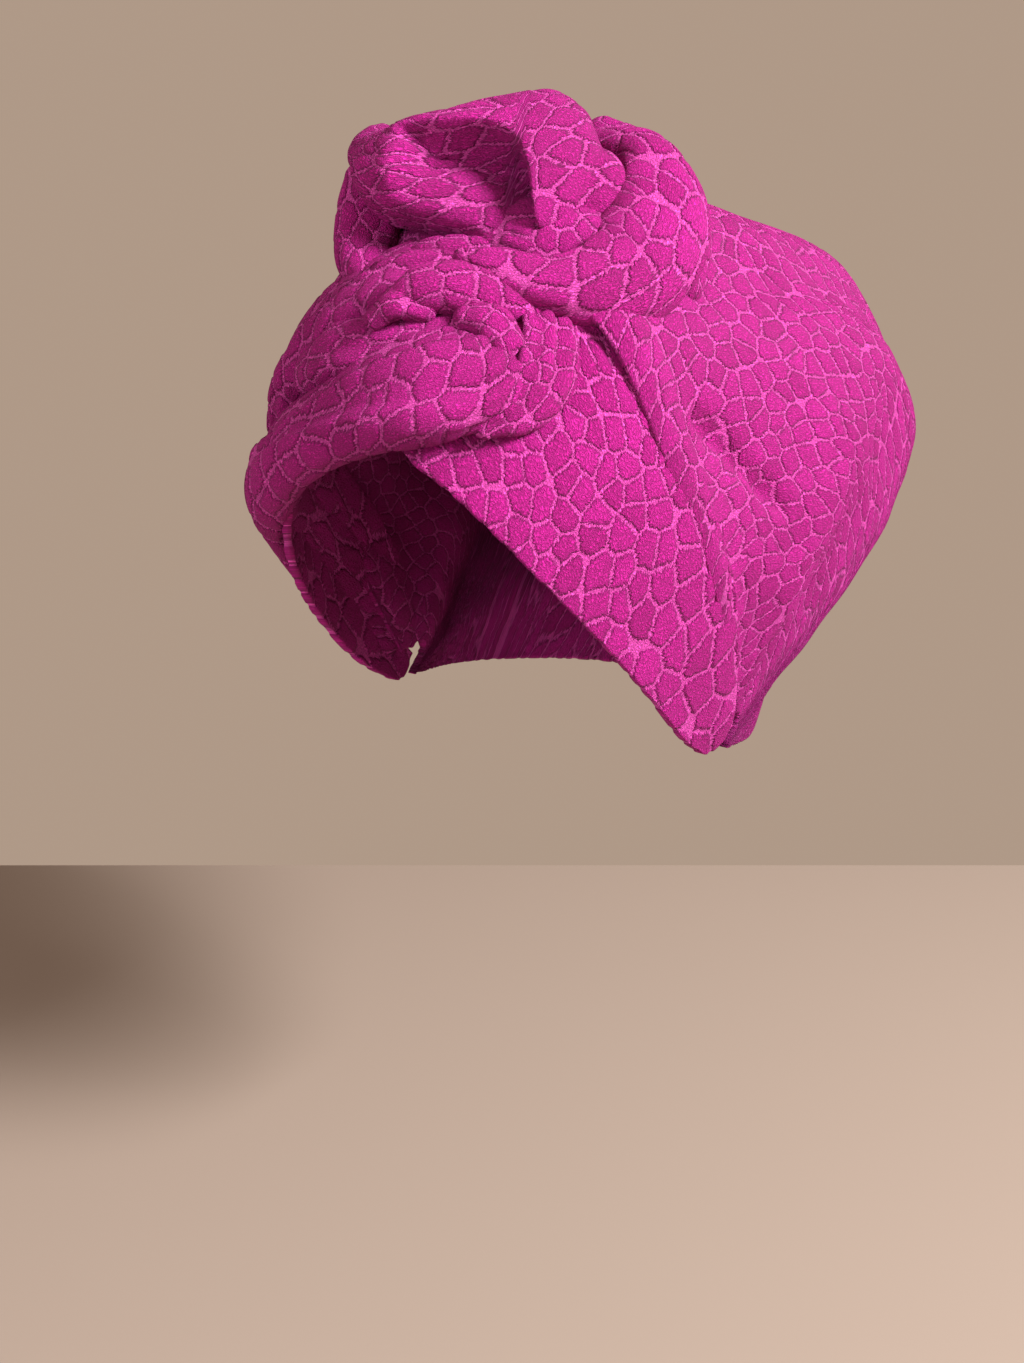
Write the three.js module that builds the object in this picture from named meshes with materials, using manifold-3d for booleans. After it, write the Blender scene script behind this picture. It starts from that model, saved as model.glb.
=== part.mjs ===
// A wound turban in thick blister cloth: a full crown, two side bands, a brow roll and a folded knot.
// Units are millimetres. The wearer faces -Y, the wearer's left is +X and +Z is up.
// The origin is the centre of the hollow at brow level.
import * as THREE from "three";
import { mergeVertices } from "three/addons/utils/BufferGeometryUtils.js";
import Module from "manifold-3d";

const wasm = await Module();
wasm.setup();

// Sizes of the form that the wrap is wound round
const HEAD_HALF_BREADTH = 82;
const HEAD_HALF_LENGTH = 99;
const HEAD_RISE = 97;
const EAR_DROP = 82;
const NAPE_TAPER = 0.16;

// Sizes of the cloth
const CLOTH = 2.6;
const ROLLED_EDGE = 3.2;
const CLEARANCE = 0.3;

// Sizes of the crown
const CROWN_REACH = 200;
const CROWN_HALF_BREADTH = 104;
const HINGE_HALF_BREADTH = 74;
const HINGE_BACK = 12;
const VALLEY_DEPTH = 8;
const DIMPLE_DEPTH = 4;

// Sizes of the side bands
const BAND_STAND_OFF = 6;
const BAND_END_SAG = 5;

// Sizes of the brow roll and of the folds over it
const ROLL_WIDTH = 30;
const ROLL_THICKNESS = 22;
const POUCH_WIDTH = 50;
const POUCH_THICKNESS = 20;

// Sizes of the knot
const KNOT_SIDE = 16;
const KNOT_FORWARD = 34;
const KNOT_FOOT = 78;
const KNOT_RADIUS = 60;
const KNOT_RISE = 68;
const KNOT_CLOTH_WIDTH = 44;

// Colours of the cloth in the light and in the folds
const MAGENTA = 0xb0148f;
const DEEP_MAGENTA = 0x8c0f72;

// The angle in which a lap of a fold drops from its lip, in degrees round the fold
const LAP_DROP = 24;

const DEGREE = Math.PI / 180;
const clamp = (value, low, high) => Math.min(high, Math.max(low, value));
const mix = (from, to, share) => from + (to - from) * share;

function smoothStep(low, high, value) {
  const share = clamp((value - low) / (high - low), 0, 1);
  return share * share * (3 - 2 * share);
}

const hump = (value, centre, width) => Math.exp(-(((value - centre) / width) ** 2));

// A value read from one column of a table, smooth between its rows, at a share 0 to 1 of its length
function readColumn(rows, column, share) {
  const place = clamp(share, 0, 1) * (rows.length - 1);
  const row = Math.min(Math.floor(place), rows.length - 2);
  const at = (index) => rows[clamp(index, 0, rows.length - 1)][column];
  const [before, start, end, after] = [at(row - 1), at(row), at(row + 1), at(row + 2)];
  const local = place - row;
  const startSlope = (end - before) / 2;
  const endSlope = (after - start) / 2;
  const square = local * local;
  const cube = square * local;
  return (
    (2 * cube - 3 * square + 1) * start +
    (cube - 2 * square + local) * startSlope +
    (3 * square - 2 * cube) * end +
    (cube - square) * endSlope
  );
}

// A closed mesh from points and triangles
function geometryOf(points, triangles) {
  const geometry = new THREE.BufferGeometry();
  const numbers = points.flatMap((point) => [point.x, point.y, point.z]);
  geometry.setAttribute("position", new THREE.Float32BufferAttribute(numbers, 3));
  geometry.setIndex(triangles.flat());
  return geometry;
}

function solidOf(geometry) {
  const merged = mergeVertices(geometry, 1e-3);
  const solid = new wasm.Manifold(
    new wasm.Mesh({
      numProp: 3,
      vertProperties: merged.attributes.position.array,
      triVerts: new Uint32Array(merged.index.array),
    }),
  );
  return solid;
}

// Two triangles for each cell of a grid of rings; a closed ring joins its last column to its first
function gridTriangles(rows, columns, closed, index, flip) {
  const triangles = [];
  const lastColumn = closed ? columns : columns - 1;
  for (let row = 0; row < rows - 1; row += 1) {
    for (let column = 0; column < lastColumn; column += 1) {
      const next = (column + 1) % columns;
      const [a, b] = [index(row, column), index(row, next)];
      const [c, d] = [index(row + 1, next), index(row + 1, column)];
      triangles.push(flip ? [a, c, b] : [a, b, c], flip ? [a, d, c] : [a, c, d]);
    }
  }
  return triangles;
}

// The form inside the wrap: a half breadth and half length that shrink to the top and a little below
function headScale(height) {
  if (height >= 0) return Math.sqrt(Math.max(0, 1 - (height / HEAD_RISE) ** 2.2));
  return 1 - NAPE_TAPER * (height / EAR_DROP) ** 2;
}

// A point on that form at an angle round from the brow to the left, at a height, and how far off it
function onHead(angle, height, standOff) {
  const scale = headScale(height);
  const point = new THREE.Vector3(
    HEAD_HALF_BREADTH * scale * Math.sin(angle),
    -HEAD_HALF_LENGTH * scale * Math.cos(angle),
    height,
  );
  return point.addScaledVector(awayFromHead(point), standOff);
}

function awayFromHead(point) {
  return new THREE.Vector3(
    point.x / HEAD_HALF_BREADTH ** 2,
    point.y / HEAD_HALF_LENGTH ** 2,
    Math.max(point.z, 0) / HEAD_RISE ** 2,
  ).normalize();
}

// Rows of a fold given as shares of the inner form's sizes, in millimetres
function onHeadRows(rows, width, thickness) {
  return rows.map((row) => ({
    x: row.side * HEAD_HALF_BREADTH,
    y: row.back * HEAD_HALF_LENGTH,
    z: row.up * (row.up < 0 ? EAR_DROP : HEAD_RISE),
    halfWidth: (row.wide * width) / 2,
    halfThickness: (row.thick * thickness) / 2,
    turn: (row.turn ?? 0) * DEGREE,
  }));
}

// Rows of a fold of the knot given as shares of the knot's sizes, from the middle of its foot
function onKnotRows(rows) {
  return rows.map((row) => ({
    x: KNOT_SIDE + row.side * KNOT_RADIUS,
    y: -KNOT_FORWARD + row.back * KNOT_RADIUS,
    z: KNOT_FOOT + row.up * KNOT_RISE,
    halfWidth: (row.wide * KNOT_CLOTH_WIDTH) / 2,
    halfThickness: (row.thick * KNOT_CLOTH_WIDTH) / 2,
    turn: (row.turn ?? 0) * DEGREE,
  }));
}

// How far a lap of the cloth pushes a section in: it drops at the lip and comes back to the far side
function lapDepth(lap, angle, share) {
  const run = clamp((share - lap.from) / (lap.to - lap.from), 0, 1);
  const lip = mix(lap.lipStart, lap.lipEnd, run ** lap.bend);
  const past = (((angle / DEGREE - lip) % 360) + 360) % 360;
  const drop = smoothStep(0, LAP_DROP, past);
  const rise = smoothStep(0.35, 1, past / Math.max(lap.far - lip, LAP_DROP * 2));
  const fade = smoothStep(0, 0.2, run) * (1 - smoothStep(0.88, 1, run));
  return lap.depth * drop * (1 - rise) * fade;
}

// A fold of cloth: rounded sections along a smooth line, with laps and rounded ends
function fold(rows, options, grow) {
  const { rings = 12, sides = 12, square = 2.3, facing, laps = [] } = options;
  const line = new THREE.CatmullRomCurve3(
    rows.map((row) => new THREE.Vector3(row.x, row.y, row.z)),
    false,
    "centripetal",
  );
  const capAngles = [68, 35].map((angle) => angle * DEGREE);
  const stations = [
    ...capAngles.map((angle) => ({ share: 0, cap: angle, side: -1 })),
    ...Array.from({ length: rings }, (_, ring) => ({ share: ring / (rings - 1), cap: 0, side: 0 })),
    ...capAngles.toReversed().map((angle) => ({ share: 1, cap: angle, side: 1 })),
  ];
  const points = [];
  for (const { share, cap, side } of stations) {
    const centre = line.getPoint(share);
    const along = line.getTangent(share);
    const out = (facing ?? awayFromHead(centre)).clone();
    out.addScaledVector(along, -out.dot(along)).normalize();
    out.applyAxisAngle(along, readColumn(rows, "turn", share));
    const across = new THREE.Vector3().crossVectors(out, along);
    const halfWidth = Math.max(readColumn(rows, "halfWidth", share), 1) + grow;
    const halfThickness = Math.max(readColumn(rows, "halfThickness", share), 1) + grow;
    centre.addScaledVector(along, side * Math.sin(cap) * Math.min(halfWidth, halfThickness));
    for (let step = 0; step < sides; step += 1) {
      const angle = (step / sides) * 2 * Math.PI;
      const round = (value) => Math.sign(value) * Math.abs(value) ** (2 / square);
      let reach = Math.cos(cap);
      for (const lap of laps) reach *= 1 - lapDepth(lap, angle, share);
      points.push(
        centre
          .clone()
          .addScaledVector(across, halfWidth * reach * round(Math.cos(angle)))
          .addScaledVector(out, halfThickness * reach * round(Math.sin(angle))),
      );
    }
  }
  const ringIndex = (row, column) => row * sides + column;
  const triangles = gridTriangles(stations.length, sides, true, ringIndex, false);
  const lastRing = (stations.length - 1) * sides;
  for (const [first, flip] of [
    [0, true],
    [lastRing, false],
  ]) {
    const middle = points.slice(first, first + sides).reduce((sum, p) => sum.add(p), new THREE.Vector3());
    points.push(middle.divideScalar(sides));
    for (let step = 0; step < sides; step += 1) {
      const [a, b] = [first + step, first + ((step + 1) % sides)];
      triangles.push(flip ? [points.length - 1, b, a] : [points.length - 1, a, b]);
    }
  }
  return solidOf(geometryOf(points, triangles));
}

// Each edge of a grid of points moved outwards by a distance
function widenEdges(grid, distance) {
  const push = (point, neighbour) =>
    point.addScaledVector(point.clone().sub(neighbour).normalize(), distance);
  grid[0].forEach((point, column) => push(point, grid[1][column]));
  grid.at(-1).forEach((point, column) => push(point, grid.at(-2)[column]));
  for (const line of grid) {
    push(line[0], line[1]);
    push(line.at(-1), line.at(-2));
  }
}

// A wall of cloth between an outer and an inner grid of points, closed along its four edges
function wall(outer, inner, grow) {
  const [rows, columns] = [outer.length, outer[0].length];
  widenEdges(outer, grow);
  widenEdges(inner, grow);
  const points = [...outer.flat(), ...inner.flat()];
  const outerIndex = (row, column) => row * columns + column;
  const innerIndex = (row, column) => rows * columns + row * columns + column;
  const triangles = [
    ...gridTriangles(rows, columns, false, outerIndex, false),
    ...gridTriangles(rows, columns, false, innerIndex, true),
  ];
  const rim = [];
  for (let column = 0; column < columns - 1; column += 1) rim.push([0, column]);
  for (let row = 0; row < rows - 1; row += 1) rim.push([row, columns - 1]);
  for (let column = columns - 1; column > 0; column -= 1) rim.push([rows - 1, column]);
  for (let row = rows - 1; row > 0; row -= 1) rim.push([row, 0]);
  rim.forEach(([row, column], place) => {
    const [nextRow, nextColumn] = rim[(place + 1) % rim.length];
    const [a, b] = [outerIndex(row, column), outerIndex(nextRow, nextColumn)];
    const [c, d] = [innerIndex(nextRow, nextColumn), innerIndex(row, column)];
    triangles.push([a, c, b], [a, d, c]);
  });
  return solidOf(geometryOf(points, triangles));
}

// The outward normals of a grid of points
function gridNormals(grid) {
  return grid.map((line, row) =>
    line.map((_, column) => {
      const up = grid[Math.max(row - 1, 0)][column];
      const down = grid[Math.min(row + 1, grid.length - 1)][column];
      const [left, right] = [line[Math.max(column - 1, 0)], line[Math.min(column + 1, line.length - 1)]];
      const alongRows = down.clone().sub(up);
      const alongColumns = right.clone().sub(left);
      return alongColumns.cross(alongRows).normalize();
    }),
  );
}

// The crown: arches from ear to ear, fanned from the front edge over the top to the nape
const CROWN_ARCHES = [
  { angle: -26, reach: 0.92, half: 0.85, square: 3.0 },
  { angle: -12, reach: 0.97, half: 0.88, square: 2.9 },
  { angle: 6, reach: 0.98, half: 0.93, square: 2.8 },
  { angle: 22, reach: 0.98, half: 1.0, square: 3.0 },
  { angle: 38, reach: 1.03, half: 1.04, square: 3.0 },
  { angle: 52, reach: 0.98, half: 1.08, square: 2.7 },
  { angle: 61, reach: 0.7, half: 0.87, square: 2.3 },
  { angle: 69, reach: 0.51, half: 0.74, square: 2.2 },
  { angle: 81, reach: 0.44, half: 0.72, square: 2.1 },
  { angle: 94, reach: 0.395, half: 0.69, square: 2.1 },
];
const CROWN_FAN_STEPS = 20;
const CROWN_ARCH_STEPS = 24;
const CROWN_END_ANGLE = 1;

// How far up an arch the crown has flared to its full breadth, as a share, at the front and at the back
const FLARE_FRONT = 0.48;
const FLARE_BACK = 0.95;

function crownPoint(fanShare, archShare) {
  const read = (column) => readColumn(CROWN_ARCHES, column, fanShare);
  const fromEar = Math.min(archShare, 1 - archShare);
  const quarter = mix(CROWN_END_ANGLE, 90, (2 * fromEar) ** 1.5);
  const turn = (archShare < 0.5 ? 180 - quarter : quarter) * DEGREE;
  const power = 2 / read("square");
  const upShare = Math.sin(turn) ** power;
  const sideShare = Math.sign(Math.cos(turn)) * Math.abs(Math.cos(turn)) ** power;
  const away = Math.abs(sideShare);
  const angle = read("angle");
  const straighten = 1 - 0.22 * smoothStep(0.6, 1, upShare) * smoothStep(0, -20, angle);
  const fanAngle = angle * straighten * DEGREE;
  const along = smoothStep(-24, 0, angle) * (1 - smoothStep(40, 58, angle));
  const valley = VALLEY_DEPTH * along * hump(away, 0.66, 0.11);
  const dimple = DIMPLE_DEPTH * hump(angle, -10, 9) * hump(upShare, 0.6, 0.1);
  const edge = ROLLED_EDGE * hump(fanShare, 0.035, 0.03) * smoothStep(0.1, 0.5, upShare);
  const reach = CROWN_REACH * read("reach") * upShare - (valley - edge) * upShare;
  const spread = smoothStep(0, mix(FLARE_FRONT, FLARE_BACK, smoothStep(10, 46, angle)), upShare);
  const flare = CROWN_HALF_BREADTH * read("half") * sideShare;
  const side =
    mix(Math.sign(sideShare) * HINGE_HALF_BREADTH * Math.min(1, away * 1.02), flare, spread) +
    (edge - valley * 0.6 - dimple) * sideShare;
  const back = HINGE_BACK + reach * Math.sin(fanAngle);
  const up = -EAR_DROP + reach * Math.cos(fanAngle);
  return new THREE.Vector3(side, back, up);
}

function crown(grow) {
  const outer = [];
  for (let fan = 0; fan <= CROWN_FAN_STEPS; fan += 1) {
    const line = [];
    for (let arch = 0; arch <= CROWN_ARCH_STEPS; arch += 1) {
      line.push(crownPoint(fan / CROWN_FAN_STEPS, arch / CROWN_ARCH_STEPS));
    }
    outer.push(line);
  }
  const normals = gridNormals(outer);
  const moved = (point, normal, distance) => point.clone().addScaledVector(normal, distance);
  const shift = (distance) =>
    outer.map((line, row) => line.map((point, column) => moved(point, normals[row][column], distance)));
  return wall(shift(grow), shift(-CLOTH - grow), grow);
}

// A side band: from under the knot down to the ear, between its hem and the crown's front edge
const BAND_LINES = [
  { hemAngle: 22, hemUp: 0.84, creaseAngle: 56, creaseUp: 0.88 },
  { hemAngle: 14, hemUp: 0.64, creaseAngle: 62, creaseUp: 0.76 },
  { hemAngle: 8, hemUp: 0.41, creaseAngle: 67, creaseUp: 0.57 },
  { hemAngle: 23, hemUp: 0.24, creaseAngle: 71, creaseUp: 0.39 },
  { hemAngle: 36, hemUp: 0.05, creaseAngle: 76, creaseUp: 0.18 },
  { hemAngle: 46, hemUp: -0.15, creaseAngle: 80, creaseUp: 0.0 },
  { hemAngle: 56, hemUp: -0.37, creaseAngle: 85, creaseUp: -0.2 },
  { hemAngle: 65, hemUp: -0.57, creaseAngle: 88, creaseUp: -0.42 },
  { hemAngle: 74, hemUp: -0.76, creaseAngle: 92, creaseUp: -0.62 },
  { hemAngle: 81, hemUp: -0.88, creaseAngle: 96, creaseUp: -0.78 },
  { hemAngle: 87, hemUp: -0.95, creaseAngle: 99, creaseUp: -0.9 },
];
const BAND_STEPS = 16;
const BAND_COLUMNS = 5;

function sideBand(mirror, grow) {
  const outer = [];
  const inner = [];
  for (let step = 0; step <= BAND_STEPS; step += 1) {
    const share = step / BAND_STEPS;
    const read = (column) => readColumn(BAND_LINES, column, share);
    const outerLine = [];
    const innerLine = [];
    for (let column = 0; column <= BAND_COLUMNS; column += 1) {
      const across = column / BAND_COLUMNS;
      const angle = mix(read("hemAngle"), read("creaseAngle"), across) * DEGREE;
      const up = mix(read("hemUp"), read("creaseUp"), across);
      const sag = BAND_END_SAG * smoothStep(0.8, 1, share) * (1 - (2 * across - 1) ** 2);
      const height = up * (up < 0 ? EAR_DROP : HEAD_RISE) - sag;
      const lift = CLEARANCE + BAND_STAND_OFF * smoothStep(0.15, 1, across) * (1 - 0.7 * share);
      outerLine.push(onHead(angle, height, lift + CLOTH + grow));
      innerLine.push(onHead(angle, height, lift - grow));
    }
    outer.push(outerLine);
    inner.push(innerLine);
  }
  const placed = (grid) =>
    grid.map((line) => (mirror ? line.map((p) => new THREE.Vector3(-p.x, p.y, p.z)) : line.toReversed()));
  return wall(placed(outer), placed(inner), grow);
}

// The brow roll: from under the knot across the brow, round the right temple and down to the right ear
const BROW_ROLL = [
  { side: 0.43, back: -0.69, up: 0.68, wide: 0.6, thick: 0.7 },
  { side: 0.4, back: -0.81, up: 0.63, wide: 1.05, thick: 0.92 },
  { side: 0.26, back: -0.92, up: 0.6, wide: 1.22, thick: 1.02 },
  { side: 0.06, back: -0.98, up: 0.54, wide: 1.08, thick: 1.0 },
  { side: -0.16, back: -0.99, up: 0.45, wide: 0.94, thick: 0.95 },
  { side: -0.43, back: -0.94, up: 0.33, wide: 0.94, thick: 0.9 },
  { side: -0.7, back: -0.79, up: 0.17, wide: 1.05, thick: 0.85 },
  { side: -0.93, back: -0.54, up: 0.0, wide: 1.15, thick: 0.7 },
  { side: -1.03, back: -0.24, up: -0.32, wide: 1.2, thick: 0.5 },
  { side: -1.0, back: -0.02, up: -0.62, wide: 0.95, thick: 0.4 },
  { side: -0.93, back: 0.04, up: -0.84, wide: 0.6, thick: 0.3 },
];

// The pouch: a puffed fold over the brow roll, from the knot down the wearer's right side
const BROW_POUCH = [
  { side: 0.2, back: -0.52, up: 0.86, wide: 0.5, thick: 0.8 },
  { side: -0.1, back: -0.64, up: 0.87, wide: 0.8, thick: 1.0 },
  { side: -0.36, back: -0.7, up: 0.76, wide: 1.0, thick: 1.1 },
  { side: -0.58, back: -0.69, up: 0.6, wide: 1.0, thick: 1.1 },
  { side: -0.78, back: -0.6, up: 0.41, wide: 0.9, thick: 1.0 },
  { side: -0.97, back: -0.4, up: 0.16, wide: 0.75, thick: 0.7 },
  { side: -1.05, back: -0.15, up: -0.16, wide: 0.65, thick: 0.5 },
  { side: -1.02, back: 0.08, up: -0.52, wide: 0.55, thick: 0.36 },
];

// The brow fold: a wedge between the pouch and the brow roll
const BROW_FOLD = [
  { side: -0.42, back: -0.84, up: 0.58, wide: 0.6, thick: 0.5 },
  { side: -0.22, back: -0.87, up: 0.66, wide: 0.75, thick: 0.66 },
  { side: 0.03, back: -0.84, up: 0.7, wide: 0.7, thick: 0.66 },
  { side: 0.26, back: -0.76, up: 0.74, wide: 0.5, thick: 0.55 },
];

// The tuck pleat: it leaves the knot and runs along the top of the left band to a point
const TUCK_PLEAT = [
  { side: 0.46, back: -0.55, up: 0.79, wide: 0.68, thick: 0.5 },
  { side: 0.55, back: -0.64, up: 0.7, wide: 0.76, thick: 0.55 },
  { side: 0.58, back: -0.71, up: 0.62, wide: 0.8, thick: 0.5 },
  { side: 0.54, back: -0.79, up: 0.54, wide: 0.66, thick: 0.4 },
  { side: 0.47, back: -0.87, up: 0.48, wide: 0.3, thick: 0.3 },
];

// The tuck edge: a small fold that turns over the near end of the brow roll
const TUCK_EDGE = [
  { side: 0.3, back: -0.76, up: 0.8, wide: 0.3, thick: 0.4 },
  { side: 0.4, back: -0.74, up: 0.78, wide: 0.4, thick: 0.45 },
  { side: 0.48, back: -0.74, up: 0.72, wide: 0.35, thick: 0.4 },
];

// The tuck roll: a short fold at the knot's right end, under the arch
const TUCK_ROLL = [
  { side: -0.02, back: -0.9, up: 0.79, wide: 0.25, thick: 0.3 },
  { side: 0.07, back: -0.87, up: 0.84, wide: 0.32, thick: 0.35 },
  { side: 0.16, back: -0.82, up: 0.82, wide: 0.25, thick: 0.3 },
];

// The knot's upper fold: a fat loop from its left lobe over the top to its tucked tip
const KNOT_UPPER_FOLD = [
  { side: -0.88, back: -0.13, up: 0.66, wide: 0.48, thick: 0.5 },
  { side: -0.69, back: -0.2, up: 0.6, wide: 0.73, thick: 0.7 },
  { side: -0.45, back: -0.18, up: 0.6, wide: 0.86, thick: 0.84 },
  { side: -0.18, back: -0.02, up: 0.59, wide: 1.16, thick: 0.95 },
  { side: 0.02, back: 0.12, up: 0.56, wide: 1.36, thick: 1.0 },
  { side: 0.18, back: 0.2, up: 0.54, wide: 1.12, thick: 0.85 },
  { side: 0.3, back: 0.26, up: 0.52, wide: 0.62, thick: 0.5 },
];
const UPPER_MOUTH = [{ lipStart: 58, lipEnd: 158, bend: 2.4, far: 170, depth: 0.6, from: 0.24, to: 0.8 }];

// The knot's swirl: the fat fold that wraps round the knot's left side and front to a point
const KNOT_SWIRL = [
  { side: 0.1, back: 0.62, up: 0.69, wide: 0.3, thick: 0.4 },
  { side: 0.37, back: 0.62, up: 0.64, wide: 0.42, thick: 0.5 },
  { side: 0.54, back: 0.51, up: 0.48, wide: 0.66, thick: 0.59 },
  { side: 0.63, back: 0.33, up: 0.3, wide: 0.82, thick: 0.64 },
  { side: 0.61, back: 0.13, up: 0.16, wide: 0.8, thick: 0.64 },
  { side: 0.51, back: -0.1, up: 0.11, wide: 0.66, thick: 0.55 },
  { side: 0.36, back: -0.3, up: 0.13, wide: 0.44, thick: 0.42 },
  { side: 0.18, back: -0.45, up: 0.2, wide: 0.34, thick: 0.32 },
  { side: 0.01, back: -0.55, up: 0.25, wide: 0.14, thick: 0.18 },
];

// The knot's outer band: the strip of cloth behind the swirl
const KNOT_OUTER_BAND = [
  { side: 0.0, back: 0.77, up: 0.74, wide: 0.34, thick: 0.3 },
  { side: 0.25, back: 0.85, up: 0.63, wide: 0.36, thick: 0.32 },
  { side: 0.43, back: 0.86, up: 0.46, wide: 0.44, thick: 0.36 },
  { side: 0.58, back: 0.74, up: 0.25, wide: 0.44, thick: 0.36 },
  { side: 0.67, back: 0.57, up: 0.05, wide: 0.36, thick: 0.3 },
];

// The knot's back fold: it closes the ring behind, from the outer band round to the left lobe
const KNOT_BACK_FOLD = [
  { side: 0.5, back: 0.72, up: 0.42, wide: 0.5, thick: 0.5 },
  { side: 0.15, back: 0.86, up: 0.5, wide: 0.72, thick: 0.62 },
  { side: -0.3, back: 0.74, up: 0.5, wide: 0.8, thick: 0.66 },
  { side: -0.68, back: 0.42, up: 0.44, wide: 0.76, thick: 0.62 },
  { side: -0.9, back: 0.02, up: 0.4, wide: 0.6, thick: 0.5 },
];

// The knot's side fold: the cloth that drops from the left lobe to the pouch
const KNOT_SIDE_FOLD = [
  { side: -0.86, back: -0.2, up: 0.54, wide: 0.48, thick: 0.36 },
  { side: -0.87, back: -0.27, up: 0.36, wide: 0.5, thick: 0.36 },
  { side: -0.83, back: -0.34, up: 0.2, wide: 0.48, thick: 0.36 },
  { side: -0.68, back: -0.42, up: 0.1, wide: 0.4, thick: 0.3 },
];

// The knot's arched fold: a small roll that arches over the brow fold and tucks under the swirl
const KNOT_ARCH_FOLD = [
  { side: -0.21, back: -0.81, up: 0.05, wide: 0.22, thick: 0.25 },
  { side: -0.09, back: -0.75, up: 0.11, wide: 0.33, thick: 0.32 },
  { side: 0.04, back: -0.66, up: 0.12, wide: 0.37, thick: 0.34 },
  { side: 0.16, back: -0.55, up: 0.08, wide: 0.33, thick: 0.34 },
  { side: 0.26, back: -0.44, up: 0.03, wide: 0.27, thick: 0.3 },
  { side: 0.36, back: -0.3, up: -0.01, wide: 0.2, thick: 0.24 },
];

// The knot's inner fold: a small roll across the dark hollow under the upper fold
const KNOT_INNER_FOLD = [
  { side: -0.5, back: -0.36, up: 0.2, wide: 0.16, thick: 0.24 },
  { side: -0.32, back: -0.32, up: 0.23, wide: 0.24, thick: 0.3 },
  { side: -0.12, back: -0.24, up: 0.24, wide: 0.24, thick: 0.3 },
  { side: 0.08, back: -0.16, up: 0.22, wide: 0.18, thick: 0.26 },
];

// The knot's core: the twisted cloth that the folds are wound on
const KNOT_CORE = [
  { side: -0.5, back: 0.1, up: 0.16, wide: 0.9, thick: 0.9 },
  { side: -0.2, back: 0.14, up: 0.2, wide: 1.2, thick: 1.0 },
  { side: 0.15, back: 0.18, up: 0.2, wide: 1.2, thick: 1.0 },
  { side: 0.4, back: 0.2, up: 0.14, wide: 0.9, thick: 0.9 },
];

const TOWARDS_FRONT_LEFT = new THREE.Vector3(0.5, -0.72, 0.48);
const UPWARDS = new THREE.Vector3(0, 0, 1);

// A piece's function from its rows, given the distance that it is grown by when it cuts a neighbour
const browRoll = (rows, options) => (grow) =>
  fold(onHeadRows(rows, ROLL_WIDTH, ROLL_THICKNESS), options, grow);
const browPouch = (rows, options) => (grow) =>
  fold(onHeadRows(rows, POUCH_WIDTH, POUCH_THICKNESS), options, grow);
const knotFold = (rows, options) => (grow) =>
  fold(onKnotRows(rows), { facing: TOWARDS_FRONT_LEFT, ...options }, grow);

// Each piece with its function; a piece is cut back by those above it in this list
const PIECES = [
  { name: "crown_wrap", colour: MAGENTA, make: crown },
  { name: "brow_roll", colour: MAGENTA, make: browRoll(BROW_ROLL, { rings: 17 }) },
  {
    name: "knot_upper_fold",
    colour: MAGENTA,
    make: knotFold(KNOT_UPPER_FOLD, { rings: 16, sides: 16, laps: UPPER_MOUTH }),
  },
  { name: "knot_swirl", colour: MAGENTA, make: knotFold(KNOT_SWIRL, { rings: 14 }) },
  { name: "knot_arch_fold", colour: MAGENTA, make: knotFold(KNOT_ARCH_FOLD, { rings: 10, sides: 10 }) },
  { name: "knot_inner_fold", colour: DEEP_MAGENTA, make: knotFold(KNOT_INNER_FOLD, { rings: 8, sides: 8 }) },
  { name: "tuck_roll", colour: MAGENTA, make: browRoll(TUCK_ROLL, { rings: 6, sides: 8 }) },
  { name: "tuck_edge", colour: MAGENTA, make: browRoll(TUCK_EDGE, { rings: 6, sides: 8 }) },
  { name: "tuck_pleat", colour: MAGENTA, make: browRoll(TUCK_PLEAT, { rings: 8, sides: 8 }) },
  { name: "brow_pouch", colour: MAGENTA, make: browPouch(BROW_POUCH, { rings: 11, sides: 10 }) },
  { name: "brow_fold", colour: MAGENTA, make: browRoll(BROW_FOLD, { rings: 9, sides: 10 }) },
  { name: "side_band_left", colour: MAGENTA, make: (grow) => sideBand(false, grow) },
  { name: "side_band_right", colour: MAGENTA, make: (grow) => sideBand(true, grow) },
  { name: "knot_outer_band", colour: MAGENTA, make: knotFold(KNOT_OUTER_BAND, { rings: 10, sides: 10 }) },
  { name: "knot_side_fold", colour: DEEP_MAGENTA, make: knotFold(KNOT_SIDE_FOLD, { rings: 8, sides: 10 }) },
  { name: "knot_back_fold", colour: MAGENTA, make: knotFold(KNOT_BACK_FOLD, { rings: 10, facing: UPWARDS }) },
  {
    name: "knot_core",
    colour: DEEP_MAGENTA,
    make: knotFold(KNOT_CORE, { rings: 5, sides: 8, facing: UPWARDS }),
  },
];

// The hollow's own space, which no fold reaches into
const HEAD_LEVELS = 12;
const HEAD_SIDES = 24;

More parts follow.
